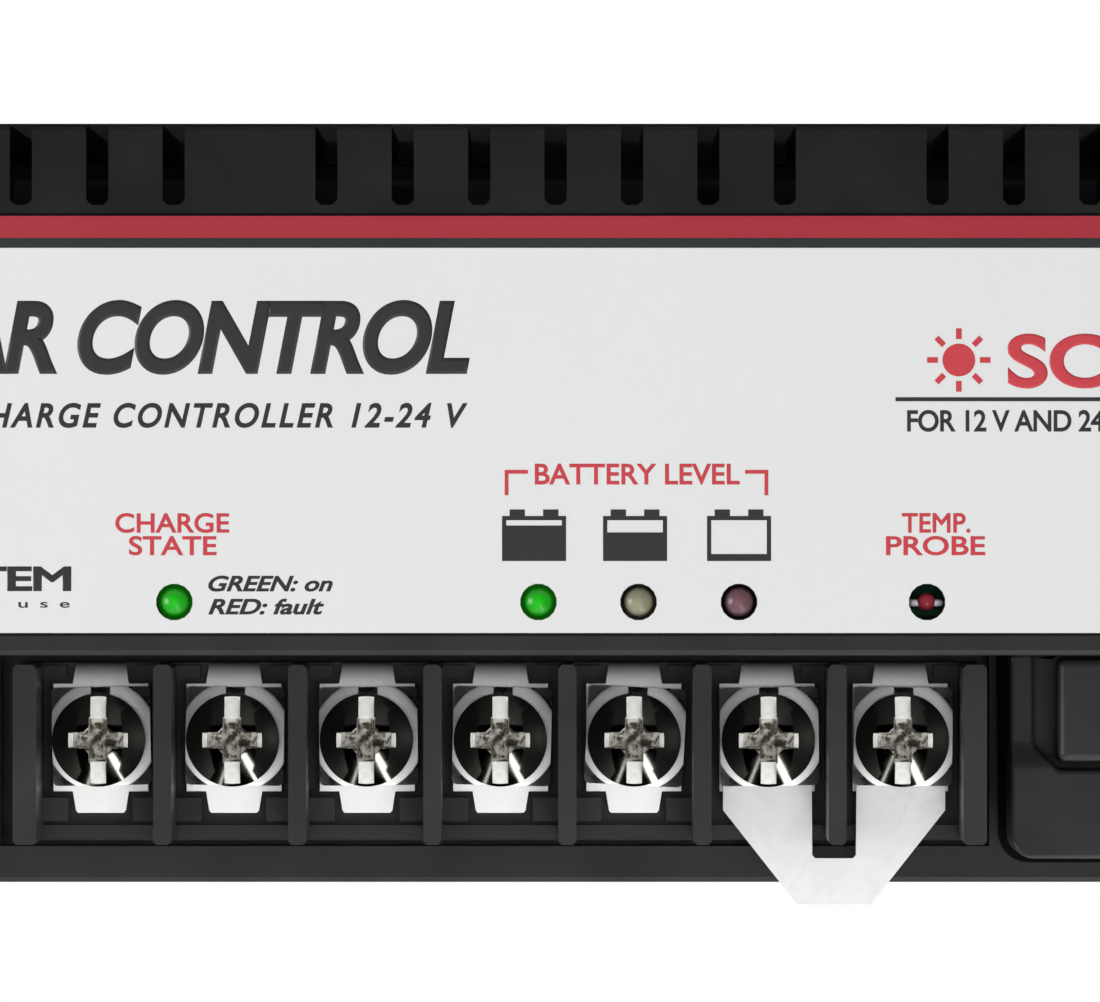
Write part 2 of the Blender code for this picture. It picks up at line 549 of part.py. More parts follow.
def make_fasteners(look):
    def fastener(name, place, tip, seat, radius, head_radius, head):
        """A screw whose head sits at seat; head is its height, negative when it faces the wall."""
        end = seat + head
        profile = [(0, tip), (radius, tip), (radius, seat), (head_radius, seat), (head_radius, end), (0, end)]
        smooth(add(name, turned(profile, 12, place), look, VIEW))

    for number, x in enumerate(CLAMP_SCREW_XS, start=1):
        fastener(f"clamp_bar_screw_{number}", (x, BAR_UP), PLATE_BACK + 0.5, 31.8 + GAP, 1.5, 2.75, 2.2)
    for number, side in enumerate((-1, 1), start=1):
        fastener(f"board_screw_{number}", (side * 61, 8.5), PLATE_FRONT - 0.4, BOARD_FRONT + GAP, 1.25, 2.4, 2.0)
    for number, (x, up) in enumerate(corners_of(BOSS_X, BOSS_UP), start=1):
        fastener(f"cover_screw_{number}", (x, up), 33.8, PLATE_BACK - GAP, 1.25, 2.2, -2.4)


clear_scene()
VIEW = empty("front_view", rotation=(radians(90), 0, 0))

black_metal = material("black_anodised", (0.02, 0.02, 0.021), 0.45, 0.6)
black_plastic = material("black_plastic", (0.025, 0.025, 0.027), 0.5)
block_plastic = material("block_plastic", (0.02, 0.02, 0.021), 0.4)
label_white = material("label", (0.73, 0.74, 0.73), 0.45)
nickel = material("nickel_plate", (0.75, 0.74, 0.7), 0.15, 1.0)
tin = material("tin_plate", (0.85, 0.86, 0.87), 0.45, 1.0)
elastomer = material("elastomer", (0.03, 0.03, 0.032), 0.6)
circuit_board = material("circuit_board", (0.02, 0.16, 0.06), 0.4)
switch_red = material("switch_red", (0.45, 0.03, 0.03), 0.4)
switch_white = material("switch_white", (0.8, 0.8, 0.78), 0.4)
ferrite = material("ferrite", (0.25, 0.28, 0.12), 0.5)
copper = material("enamelled_copper", (0.55, 0.2, 0.06), 0.25, 1.0)
sleeve = material("capacitor_sleeve", (0.03, 0.03, 0.05), 0.35)
power_case = material("power_case", (0.03, 0.03, 0.03), 0.5)
pad_grey = material("thermal_pad", (0.06, 0.065, 0.07), 0.8)
spring_steel = material("spring_steel", (0.55, 0.55, 0.55), 0.35, 1.0)
sensor_red = material("sensor_red", (0.4, 0.04, 0.03), 0.3)
lenses = {
    "lit_green_lens": material("lit_green_lens", (0.02, 0.4, 0.02), 0.2),
    "amber_lens": material("amber_lens", (0.35, 0.33, 0.2), 0.2),
    "red_lens": material("red_lens", (0.25, 0.1, 0.12), 0.2),
}

make_heatsink(black_metal)
make_cover(black_plastic)
make_label(label_white)
make_terminal_block(block_plastic)
for pole in range(1, POLES + 1):
    make_contact(pole, tin)
    make_clamp_and_screw(pole, nickel, nickel)
make_link(tin)
make_service_cover(elastomer)
make_jack(block_plastic)
make_dip_switch(switch_red, switch_white)
make_lights(lenses)
make_sensor(sensor_red)
make_boards(circuit_board, block_plastic)
make_inductor(ferrite, copper)
make_capacitors(sleeve)
make_power_stage(power_case, pad_grey, spring_steel)
make_fasteners(spring_steel)
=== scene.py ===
"""The looks of a wall-mounted solar charge controller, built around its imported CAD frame.

Places come from the CAD nodes' boxes. Shapes are drawn in millimetres in the front view: x is right, y is up
and z is out of the wall, and the matrix VIEW takes them to the frame's metres.
"""

import json
from math import asin, cos, pi, radians, sin

import bmesh
import bpy
from mathutils import Matrix, Vector


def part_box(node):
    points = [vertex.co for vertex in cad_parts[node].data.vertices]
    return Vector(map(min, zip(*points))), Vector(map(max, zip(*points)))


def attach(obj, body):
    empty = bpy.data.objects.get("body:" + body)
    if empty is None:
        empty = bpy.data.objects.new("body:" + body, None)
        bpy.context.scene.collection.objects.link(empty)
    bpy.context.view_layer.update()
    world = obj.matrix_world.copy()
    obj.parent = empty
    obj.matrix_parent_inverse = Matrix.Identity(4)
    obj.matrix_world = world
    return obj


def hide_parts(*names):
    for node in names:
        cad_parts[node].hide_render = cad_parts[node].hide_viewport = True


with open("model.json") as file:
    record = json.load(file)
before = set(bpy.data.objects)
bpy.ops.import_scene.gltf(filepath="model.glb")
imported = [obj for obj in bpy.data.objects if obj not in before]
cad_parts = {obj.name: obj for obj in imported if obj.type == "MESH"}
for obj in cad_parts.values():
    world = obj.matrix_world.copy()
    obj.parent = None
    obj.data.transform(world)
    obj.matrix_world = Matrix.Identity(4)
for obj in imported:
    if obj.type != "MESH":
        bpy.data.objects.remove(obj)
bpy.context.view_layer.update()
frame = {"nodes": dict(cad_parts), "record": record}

MM = 0.001
VIEW = Matrix(((MM, 0, 0, 0), (0, 0, -MM, 0), (0, MM, 0, 0), (0, 0, 0, 1)))

POLES = 7
CLAMP_TWISTS = (1.0, -0.8, 0.6, -1.4, -3.0, 0.8, -0.5)  # how far each loose plate is turned, in degrees
CLAMP_SHIFT = 0.15, 0.3  # the loose plates sit a little off their screws' centres
PRINT_THICKNESS = 0.03
ROUNDED_ANGLE = 32  # edges sharper than this many degrees are rounded


# ---------------------------------------------------------------- places


def view_box(node):
    """A CAD node's lowest and highest corners in the front view, in millimetres."""
    low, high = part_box(node)
    return Vector((low.x, low.z, -high.y)) / MM, Vector((high.x, high.z, -low.y)) / MM


def view_centre(node):
    low, high = view_box(node)
    return (low + high) / 2


# ---------------------------------------------------------------- shapes


def block(low, high, look=0):
    """A box between two corners."""
    bm = bmesh.new()
    size, middle = Vector(high) - Vector(low), (Vector(high) + Vector(low)) / 2
    bmesh.ops.create_cube(bm, size=1, matrix=Matrix.Translation(middle) @ Matrix.Diagonal((*size, 1)))
    for face in bm.faces:
        face.material_index = look
    return bm


def prism(outline, low, high):
    """An outline of (x, y) points extruded along z."""
    bm = bmesh.new()
    face = bm.faces.new([bm.verts.new((x, y, low)) for x, y in outline])
    moved = bmesh.ops.extrude_face_region(bm, geom=[face])["geom"]
    verts = [item for item in moved if isinstance(item, bmesh.types.BMVert)]
    bmesh.ops.translate(bm, vec=(0, 0, high - low), verts=verts)
    return bm


def turned(profile, sides, look=0):
    """A solid turned about the z axis, from (radius, z) points; a point of radius 0 closes it on the axis."""
    bm = bmesh.new()
    rings = []
    for radius, z in profile:
        count = sides if radius > 0 else 1
        turns = [2 * pi * k / count for k in range(count)]
        rings.append([bm.verts.new((radius * cos(a), radius * sin(a), z)) for a in turns])
    for near, far in zip(rings, rings[1:]):
        for k in range(sides):
            after = k + 1
            corners = (near[k % len(near)], near[after % len(near)], far[after % len(far)], far[k % len(far)])
            bm.faces.new(list(dict.fromkeys(corners)))
    for ring in (rings[0], rings[-1]):
        if len(ring) > 1:
            bm.faces.new(ring)
    for face in bm.faces:
        face.material_index = look
    return bm


def arc(centre, radius, start, end, steps):
    """Points along an arc between two angles in degrees."""
    turns = [radians(start + (end - start) * k / steps) for k in range(steps + 1)]
    return [(centre[0] + radius * cos(a), centre[1] + radius * sin(a)) for a in turns]


def rounded_square(half, radius):
    """The outline of a square about the origin with round corners."""
    inner = half - radius
    corners = ((inner, inner, 0), (-inner, inner, 90), (-inner, -inner, 180), (inner, -inner, 270))
    return [point for x, y, start in corners for point in arc((x, y), radius, start, start + 90, 5)]


def round_foot(left, right, foot, radius, spread=0.0):
    """The two round lower corners of an outline, from left to right, drawn larger by spread."""
    return [*arc((left + radius, foot + radius), radius + spread, 180, 270, 6),
            *arc((right - radius, foot + radius), radius + spread, 270, 360, 6)]


def side_prism(outline, low, high):
    """An outline of (y, z) points extruded along x."""
    bm = prism(outline, low, high)
    bm.transform(Matrix(((0, 0, 1, 0), (1, 0, 0, 0), (0, 1, 0, 0), (0, 0, 0, 1))))
    return bm


def put(bm, other):
    """Adds the other bmesh to bm and frees it."""
    mesh = bpy.data.meshes.new("part")
    other.to_mesh(mesh)
    other.free()
    bm.from_mesh(mesh)
    bpy.data.meshes.remove(mesh)


def linked(name, data):
    """A new object in the scene."""
    made = bpy.data.objects.new(name, data)
    bpy.context.scene.collection.objects.link(made)
    return made


def mesh_object(name, bm, looks=()):
    """A bmesh in the frame's metres becomes an object."""
    bmesh.ops.recalc_face_normals(bm, faces=bm.faces)
    mesh = bpy.data.meshes.new(name)
    bm.to_mesh(mesh)
    bm.free()
    for look in looks:
        mesh.materials.append(look)
    return linked(name, mesh)


def view_object(name, bm, looks=()):
    """The same, from millimetres in the front view."""
    bm.transform(VIEW)
    return mesh_object(name, bm, looks)


def baked(obj, angle=35):
    """Applies an object's modifiers, and shades it smooth up to an angle in degrees, its flats kept flat."""
    for last in (False, True):
        bpy.context.view_layer.update()
        evaluated = obj.evaluated_get(bpy.context.evaluated_depsgraph_get())
        mesh = bpy.data.meshes.new_from_object(evaluated)
        obj.modifiers.clear()
        obj.data = mesh
        if not last:
            mesh.shade_smooth()
            mesh.set_sharp_from_angle(angle=radians(angle))
            obj.modifiers.new("Even", "WEIGHTED_NORMAL").keep_sharp = True


def carved(name, bm, cutters, looks, bevel=None, segments=2):
    """A view-space shape with others cut from it or joined to it and its edges rounded; each of cutters is a
    (shape, operation) pair, whose faces keep their own material."""
    made = view_object(name, bm, looks)
    helpers = []
    for shape, operation in cutters:
        helper = view_object(f"{name}_cutter", shape, looks)
        helpers.append(helper)
        modifier = made.modifiers.new("Cut", "BOOLEAN")
        modifier.operation = operation
        modifier.solver = "EXACT"
        modifier.object = helper
    if bevel:
        round_edges(made, bevel, segments)
    baked(made)
    for helper in helpers:
        bpy.data.objects.remove(helper)
    return made


def round_edges(obj, width, segments=2):
    """A bevel, width millimetres wide, on the edges sharper than ROUNDED_ANGLE."""
    edges = obj.modifiers.new("Edges", "BEVEL")
    edges.width = width * MM
    edges.segments = segments
    edges.limit_method = "ANGLE"
    edges.angle_limit = radians(ROUNDED_ANGLE)
    edges.harden_normals = True


def rides(obj, body, slot, *nodes):
    """The object moves with a body and stands for CAD nodes; slot, a material slot's name, is not used."""
    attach(obj, body)
    if nodes:
        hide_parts(*nodes)


# ---------------------------------------------------------------- materials


class Look:
    """A material in the making: a Principled shader with detail from the object's own coordinates."""

    def __init__(self, name, colour, roughness, metallic=0.0, **inputs):
        self.material = bpy.data.materials.new(name)
        self.material.use_nodes = True
        self.nodes, self.links = self.material.node_tree.nodes, self.material.node_tree.links
        self.shader = self.nodes["Principled BSDF"]
        self.colour, self.roughness = colour, roughness
        self.place = self.nodes.new("ShaderNodeTexCoord").outputs["Object"]
        self.height = None
        settings = {"Base Color": (*colour, 1.0), "Roughness": roughness, "Metallic": metallic, **inputs}
        for key, value in settings.items():
            self.shader.inputs[key].default_value = value

    def stretched(self, stretch):
        if stretch == (1, 1, 1):
            return self.place
        scaling = self.nodes.new("ShaderNodeMapping")
        scaling.inputs["Scale"].default_value = stretch
        self.links.new(self.place, scaling.inputs["Vector"])
        return scaling.outputs["Vector"]

    def noise(self, size, detail=3.0, stretch=(1, 1, 1), distortion=0.0):
        """Noise whose features are about size millimetres across."""
        made = self.nodes.new("ShaderNodeTexNoise")
        made.inputs["Scale"].default_value = 1 / (size * MM)
        made.inputs["Detail"].default_value = detail
        made.inputs["Distortion"].default_value = distortion
        self.links.new(self.stretched(stretch), made.inputs["Vector"])
        return made.outputs["Fac"]

    def voronoi(self, size, feature="F1", stretch=(1, 1, 1)):
        made = self.nodes.new("ShaderNodeTexVoronoi")
        made.feature = feature
        made.inputs["Scale"].default_value = 1 / (size * MM)
        self.links.new(self.stretched(stretch), made.inputs["Vector"])
        return made.outputs["Distance"]

    def math(self, operation, first, second=0.0):
        made = self.nodes.new("ShaderNodeMath")
        made.operation = operation
        for socket, value in zip(made.inputs, (first, second)):
            if isinstance(value, (int, float)):
                socket.default_value = value
            else:
                self.links.new(value, socket)
        return made.outputs["Value"]

    def spread(self, value, low, high, to_low, to_high):
        """Takes the range from low to high to another, and stops at its ends."""
        made = self.nodes.new("ShaderNodeMapRange")
        made.clamp = True
        for key, number in zip(("From Min", "From Max", "To Min", "To Max"), (low, high, to_low, to_high)):
            made.inputs[key].default_value = number
        self.links.new(value, made.inputs["Value"])
        return made.outputs["Result"]

    def axis(self, name, vector=None):
        made = self.nodes.new("ShaderNodeSeparateXYZ")
        self.links.new(vector or self.place, made.inputs["Vector"])
        return made.outputs[name]

    def mix(self, factor, first, second):
        """A colour between two, each a value or a socket."""
        made = self.nodes.new("ShaderNodeMix")
        made.data_type = "RGBA"
        self.links.new(factor, made.inputs[0])
        for socket, value in zip(made.inputs[6:8], (first, second)):
            if isinstance(value, bpy.types.NodeSocket):
                self.links.new(value, socket)
            else:
                socket.default_value = (*value, 1.0)
        return made.outputs[2]

    def tint(self, factor, dark, light):
        """The base colour between two multiples of itself."""
        return self.mix(factor, [dark * c for c in self.colour], [min(1.0, light * c) for c in self.colour])

    def drive(self, key, socket):
        self.links.new(socket, self.shader.inputs[key])

    def bump(self, height, depth):
        """Height from 0 to 1 stands for depth in millimetres; each call adds to the last."""
        made = self.nodes.new("ShaderNodeBump")
        made.inputs["Distance"].default_value = depth * MM
        self.links.new(height, made.inputs["Height"])
        if self.height:
            self.links.new(self.height, made.inputs["Normal"])
        self.height = made.outputs["Normal"]
        self.links.new(self.height, self.shader.inputs["Normal"])
        return self


def grained(look, grain, depth):
    """A mould's fine eroded grain and slow changes of gloss; returns the base colour, rubbed in patches."""
    patches = look.noise(9.0, 4.0)
    speckle = look.noise(grain, 2.0)
    rubbed = look.spread(patches, 0.35, 0.75, 0.0, 1.0)
    gloss = look.math("ADD", patches, speckle)
    look.drive("Roughness", look.spread(gloss, 0.7, 1.4, look.roughness - 0.07, look.roughness + 0.09))
    look.bump(speckle, depth)
    return look.tint(look.math("MULTIPLY", rubbed, speckle), 0.86, 1.35)


def moulded(name, colour, roughness, grain, depth, **inputs):
    """Moulded plastic or rubber, with its grain's size and depth in millimetres."""
    look = Look(name, colour, roughness, **inputs)
    look.drive("Base Color", grained(look, grain, depth))
    return look.material


def cover_look():
    """The cover's moulded plastic with painted shade: darker up at the ribs and darkest on the walls of its
    slots.
    """
    look = Look("black_plastic", (0.0208, 0.0208, 0.0216), 0.44)
    plain = grained(look, 0.25, 0.006)
    high = view_box("front_cover")[1]
    normal = look.nodes.new("ShaderNodeNewGeometry").outputs["Normal"]
    begins, full = 14.0, 9.0  # millimetres down from the top
    side_wall = 2.0  # millimetres in from each side that are no slot's wall
    rib_painted_shade, slot_painted_shade = 0.54, 0.42  # the shares of painted shade (a mix to black) at the ribs, and what a slot's wall adds
    sideways = look.math("GREATER_THAN", look.math("ABSOLUTE", look.axis("X", normal)), 0.8)
    inside = look.math("LESS_THAN", look.math("ABSOLUTE", look.axis("X")), (high.x - side_wall) * MM)
    upper = look.spread(look.axis("Z"), (high.y - begins) * MM, (high.y - full) * MM, 0.0, 1.0)
    slot_wall_painted_shade = look.math("MULTIPLY", look.math("MULTIPLY", sideways, inside), slot_painted_shade)
    painted_shade = look.math("ADD", slot_wall_painted_shade, rib_painted_shade)
    # painted shade: the top band, and the slots' walls more, are mixed towards black
    look.drive("Base Color", look.mix(look.math("MULTIPLY", upper, painted_shade), plain, (0.0, 0.0, 0.0)))
    return look.material


def anodised_look():
    """Black anodised extrusion: die lines along its length (up the wall) over a fine matt etch."""
    look = Look("black_anodised", (0.032, 0.032, 0.034), 0.42, 0.5)
    lines = look.noise(0.5, 3.0, (1, 1, 0.012))
    etch = look.noise(0.12, 2.0)
    handled = look.spread(look.noise(14.0, 4.0, distortion=0.6), 0.4, 0.7, 0.0, 1.0)
    look.drive("Base Color", look.tint(look.math("MULTIPLY", lines, handled), 0.85, 1.7))
    look.drive("Roughness", look.spread(look.math("ADD", lines, handled), 0.4, 1.5, 0.34, 0.5))
    look.bump(lines, 0.012).bump(etch, 0.003)
    return look.material


def label_look():
    """White printed film with a red band and a thin dark line along its top."""
    top = view_box("label_overlay")[1].y
    red_bottom, line_bottom = top - 2.08, top - 3.03
    look = Look("label", (0.575, 0.58, 0.576), 0.42, **{"Specular IOR Level": 0.35})
    up = look.axis("Z")
    fibres = look.noise(0.7, 3.0)
    cloud = look.noise(18.0, 3.0)
    white = look.tint(look.math("MULTIPLY", fibres, cloud), 0.965, 1.02)
    red = look.mix(cloud, (0.27, 0.019, 0.031), (0.305, 0.023, 0.034))
    dark = look.mix(cloud, (0.019, 0.0225, 0.0225), (0.026, 0.031, 0.031))
    above_line = look.math("GREATER_THAN", up, line_bottom * MM)
    above_red = look.math("GREATER_THAN", up, red_bottom * MM)
    look.drive("Base Color", look.mix(above_red, look.mix(above_line, white, dark), red))
    look.drive("Roughness", look.spread(cloud, 0.3, 0.7, 0.36, 0.5))
    look.bump(fibres, 0.004)
    return look.material


def ink_look(name, colour):
    """Screen ink: slightly uneven cover."""
    look = Look(name, colour, 0.45)
    look.drive("Base Color", look.tint(look.noise(0.35, 3.0), 0.9, 1.18))
    return look.material


def tin_look(name, colour, metallic):
    """Satin tin plate: near-white, with smudges, faint rolling lines and a few scratches."""
    look = Look(name, colour, 0.42, metallic)
    smudges = look.spread(look.noise(2.6, 5.0, distortion=1.2), 0.42, 0.72, 0.0, 1.0)
    rolled = look.noise(0.3, 2.0, (1, 1, 0.03))
    scratches = look.spread(look.noise(0.5, 2.0, (0.05, 1, 1.6), 0.4), 0.64, 0.68, 0.0, 1.0)
    faint = look.math("MULTIPLY", smudges, 0.55)
    marks = look.math("MAXIMUM", faint, look.math("MULTIPLY", scratches, smudges))
    look.drive("Base Color", look.tint(marks, 1.0, 0.86))
    look.drive("Roughness", look.spread(look.math("ADD", smudges, rolled), 0.2, 1.5, 0.36, 0.55))
    look.bump(rolled, 0.002)
    return look.material


def nickel_look(name, colour, roughness):
    """Nickel plate with hair scratches and a thin haze."""
    look = Look(name, colour, roughness, 1.0)
    haze = look.noise(1.6, 1.0)
    hairs = look.noise(0.16, 3.0, (1, 1, 0.15))
    dulled = look.math("ADD", haze, look.math("MULTIPLY", hairs, 0.4))
    look.drive("Base Color", look.tint(dulled, 0.85, 1.0))
    look.drive("Roughness", look.spread(haze, 0.3, 0.7, 0.75 * roughness, 1.4 * roughness))
    return look.material


def graded_look(name, colour, roughness, pale_end, dark_end, aside=0.0):
    """Plate with painted shade: pale, satin and diffuse at the pole's foot and more metallic, so darker,
    towards its top, or its upper left where aside is not zero; pale_end and dark_end are each a height from
    the piece's origin and how metallic it is."""
    look = Look(name, colour, roughness)
    haze = look.noise(1.3, 1.0)
    rolled = look.noise(0.3, 2.0, (1, 1, 0.05))
    height = look.math("SUBTRACT", look.axis("Z"), look.math("MULTIPLY", look.axis("X"), aside))
    # painted shade: metallic rises with height, so the upper part reflects the dark surroundings and looks
    # darker
    look.drive("Metallic", look.spread(height, pale_end[0] * MM, dark_end[0] * MM, pale_end[1], dark_end[1]))
    look.drive("Base Color", look.tint(look.math("MULTIPLY", haze, rolled), 0.93, 1.05))
    return look.material


def punched_look(name, light, dark, roughness, metallic):
    """The punched inside of a screw's drive: satin and streaked, with a dark film in places."""
    look = Look(name, light, roughness, metallic)
    film = look.spread(look.noise(0.8, 3.0), 0.42, 0.58, 0.0, 1.0)
    streaks = look.noise(0.2, 3.0, (1, 1, 0.3))
    look.drive("Base Color", look.mix(film, light, dark))
    look.drive("Roughness", look.spread(streaks, 0.3, 0.7, 0.8 * roughness, 1.3 * roughness))
    look.bump(streaks, 0.002)
    return look.material


def lens_look(name, rim, middle, glow):
    """A tinted lamp, lighter towards the middle of its dome; its axis is the object's own Y."""
    gloss = {"Coat Weight": 0.12, "Coat Roughness": 0.2, "Emission Strength": glow}
    look = Look(name, middle, 0.34, **gloss)
    across = look.nodes.new("ShaderNodeVectorMath")
    across.operation = "MULTIPLY"
    across.inputs[1].default_value = (1, 0, 1)
    look.links.new(look.place, across.inputs[0])
    length = look.nodes.new("ShaderNodeVectorMath")
    length.operation = "LENGTH"
    look.links.new(across.outputs["Vector"], length.inputs[0])
    uneven = look.math("MULTIPLY", look.noise(0.8, 2.0), 0.5 * MM)
    radius = look.math("ADD", length.outputs["Value"], uneven)
    outward = look.spread(radius, 0.5 * MM, 1.8 * MM, 0.0, 1.0)
    look.drive("Base Color", look.mix(outward, middle, rim))
    if glow:
        lit = look.spread(radius, 0.4 * MM, 1.7 * MM, 0.0, 1.0)
        look.drive("Emission Color", look.mix(lit, middle, rim))
    return look.material


def board_look():
    """Green solder mask with the tracks under it a little lighter."""
    look = Look("circuit_board", (0.006, 0.04, 0.019), 0.34, **{"Coat Weight": 0.3})
    tracks = look.spread(look.voronoi(3.2, "DISTANCE_TO_EDGE", (1, 1, 1.7)), 0.05, 0.07, 1.0, 0.0)
    weave = look.noise(0.5, 2.0)
    look.drive("Base Color", look.mix(tracks, look.tint(weave, 0.75, 1.1), (0.012, 0.075, 0.032)))
    look.drive("Roughness", look.spread(weave, 0.3, 0.7, 0.28, 0.42))
    look.bump(tracks, 0.03).bump(weave, 0.005)
    return look.material


def metal_look(name, colour, roughness, size, depth, stretch=(1, 1, 1)):
    """A worked metal: streaks in its gloss and a little tarnish."""
    look = Look(name, colour, roughness, 1.0)
    streaks = look.noise(size, 3.0, stretch)
    tarnish = look.noise(3.0, 4.0)
    look.drive("Base Color", look.tint(tarnish, 0.75, 1.1))
    look.drive("Roughness", look.spread(streaks, 0.3, 0.7, roughness - 0.08, roughness + 0.1))
    look.bump(streaks, depth)
    return look.material


def copper_look():
    """Enamelled copper: bright metal under a lacquer."""
    lacquer = {"Coat Weight": 0.7, "Coat Roughness": 0.08}
    look = Look("enamelled_copper", (0.62, 0.21, 0.06), 0.28, 1.0, **lacquer)
    drawn = look.noise(0.25, 2.0)
    look.drive("Base Color", look.tint(look.noise(2.2, 3.0), 0.7, 1.15))
    look.drive("Roughness", look.spread(drawn, 0.3, 0.7, 0.2, 0.34))
    return look.material


def sleeve_look():
    """A dark shrink sleeve with a pale stripe down its marked side."""
    look = Look("capacitor_sleeve", (0.018, 0.02, 0.05), 0.3, **{"Coat Weight": 0.3})
    shrink = look.noise(1.5, 3.0)
    across = look.math("ABSOLUTE", look.axis("X"))
    front = look.math("GREATER_THAN", look.axis("Z"), 0.0)
    stripe = look.math("MULTIPLY", look.math("LESS_THAN", across, 2.0 * MM), front)
    look.drive("Base Color", look.mix(stripe, look.tint(shrink, 0.8, 1.25), (0.55, 0.56, 0.58)))
    look.drive("Roughness", look.spread(shrink, 0.3, 0.7, 0.22, 0.36))
    look.bump(shrink, 0.02)
    return look.material


def ferrite_look():
    look = Look("ferrite", (0.24, 0.27, 0.11), 0.5)
    grains = look.noise(0.3, 4.0)
    look.drive("Base Color", look.tint(grains, 0.7, 1.25))
    look.bump(grains, 0.02)
    return look.material


def pad_look():
    look = Look("thermal_pad", (0.06, 0.065, 0.07), 0.78)
    weave = look.voronoi(0.6)
    look.drive("Base Color", look.tint(weave, 0.85, 1.1))
    look.bump(weave, 0.02)
    return look.material


LOOKS = {
    "black_anodised": anodised_look(),
    "black_plastic": cover_look(),
    "block_plastic": moulded("block_plastic", (0.027, 0.027, 0.028), 0.38, 0.18, 0.004),
    "label": label_look(),
    # nickel_plate is much darker than nickel: painted shade for the dark surroundings the polished screw
    # domes reflect
    "nickel_plate": nickel_look("nickel_plate", (0.27, 0.262, 0.235), 0.09),
    "plain_nickel": nickel_look("plain_nickel", (0.7, 0.69, 0.66), 0.3),
    # crown_nickel carries painted shade: darker towards its top and its upper left
    "crown_nickel": graded_look("crown_nickel", (0.95, 0.945, 0.93), 0.3, (-2.5, 0.0), (6.0, 0.42), 0.5),
    "punched_nickel": punched_look("punched_nickel", (0.92, 0.9, 0.84), (0.1, 0.09, 0.06), 0.2, 0.55),
    "slot_floor": punched_look("slot_floor", (0.95, 0.94, 0.92), (0.84, 0.83, 0.8), 0.4, 0.1),
    "tin_plate": tin_look("tin_plate", (0.72, 0.725, 0.73), 0.06),
    # contact_tin carries painted shade: pale at its foot, darker towards its top
    "contact_tin": graded_look("contact_tin", (0.96, 0.96, 0.95), 0.4, (5.3, 0.0), (7.4, 1.0)),
    "elastomer": moulded("elastomer", (0.0235, 0.0235, 0.025), 0.44, 0.35, 0.004),
    # a painted shadow: near-black and matt, for the shade in the gap around the boot
    "gap_shadow": moulded("gap_shadow", (0.003, 0.003, 0.003), 0.9, 0.4, 0.02, **{"Specular IOR Level": 0.1}),
    "circuit_board": board_look(),
    "switch_red": moulded("switch_red", (0.42, 0.022, 0.02), 0.38, 0.2, 0.003),
    "switch_white": moulded("switch_white", (0.78, 0.78, 0.75), 0.4, 0.2, 0.003),
    "ferrite": ferrite_look(),
    "enamelled_copper": copper_look(),
    "thermal_pad": pad_look(),
    "spring_steel": metal_look("spring_steel", (0.56, 0.56, 0.55), 0.32, 0.3, 0.004, (1, 1, 0.1)),
    "capacitor_sleeve": sleeve_look(),
    "power_case": moulded("power_case", (0.022, 0.022, 0.022), 0.48, 0.15, 0.006),
    "sensor_red": moulded("sensor_red", (0.3, 0.026, 0.045), 0.24, 0.3, 0.002, **{"Coat Weight": 0.4}),
    "gold_contact": metal_look("gold_contact", (0.8, 0.6, 0.27), 0.22, 0.2, 0.002),
    "tinned_lead": tin_look("tinned_lead", (0.8, 0.82, 0.85), 0.2),
    "lit_green_lens": lens_look("lit_green_lens", (0.004, 0.11, 0.003), (0.004, 0.3, 0.002), 0.55),
    "amber_lens": lens_look("amber_lens", (0.14, 0.13, 0.085), (0.23, 0.225, 0.15), 0.0),
    "red_lens": lens_look("red_lens", (0.075, 0.035, 0.045), (0.15, 0.07, 0.085), 0.0),
    "ink_dark": ink_look("ink_dark", (0.0235, 0.0255, 0.0265)),
    "ink_red": ink_look("ink_red", (0.42, 0.034, 0.046)),
}


# ---------------------------------------------------------------- carried-over CAD nodes


def dress_nodes():
    """Every CAD node takes its slot's material, and the ones with moulded or cut edges get them rounded."""
    slots = {part["node"]: part["material_slot"] for part in frame["record"]["subparts"]}
    for name, obj in frame["nodes"].items():
        obj.data.materials.clear()
        obj.data.materials.append(LOOKS[slots[name]])
        for face in obj.data.polygons:
            face.material_index = 0
    edge_widths = {
        "front_cover": 0.22, "heatsink": 0.22, "terminal_block": 0.16, "terminal_link": 0.12,
        "data_jack": 0.12, "dip_switch_body": 0.1, "clamp_bar": 0.2,
        "main_board": 0.08, "indicator_board": 0.08,
    }
    edge_widths.update({f"mosfet_{n}": 0.1 for n in range(1, 5)})
    for name, width in edge_widths.items():
        obj = frame["nodes"][name]
        flat = obj.modifiers.new("Flat", "DECIMATE")
        flat.decimate_type = "DISSOLVE"
        flat.angle_limit = radians(0.5)
        round_edges(obj, width)
        obj.data.shade_smooth()


# ---------------------------------------------------------------- terminals


def form(made):
    """Only the mesh of an object, to be shared."""
    mesh = made.data
    bpy.data.objects.remove(made)
    return mesh


def tapered_blade(levels, turn):
    """One of a punch's crossed blades, from (z, reach, half width) levels: the top of its ends has the third
    look, the rest the second."""
    blade = bmesh.new()
    rings = [
        [blade.verts.new((sx * x, sy * y, z)) for sx, sy in ((-1, -1), (1, -1), (1, 1), (-1, 1))]
        for z, x, y in levels
    ]
    for depth, (upper, lower) in enumerate(zip(rings, rings[1:])):
        for k in range(4):
            face = blade.faces.new((upper[k], upper[(k + 1) % 4], lower[(k + 1) % 4], lower[k]))
            face.material_index = 2 if k % 2 and depth == 0 else 1
    for ring in (rings[0], rings[-1]):
        blade.faces.new(ring).material_index = 1
    bmesh.ops.recalc_face_normals(blade, faces=blade.faces)
    blade.transform(Matrix.Rotation(radians(turn), 4, "Z"))
    return blade


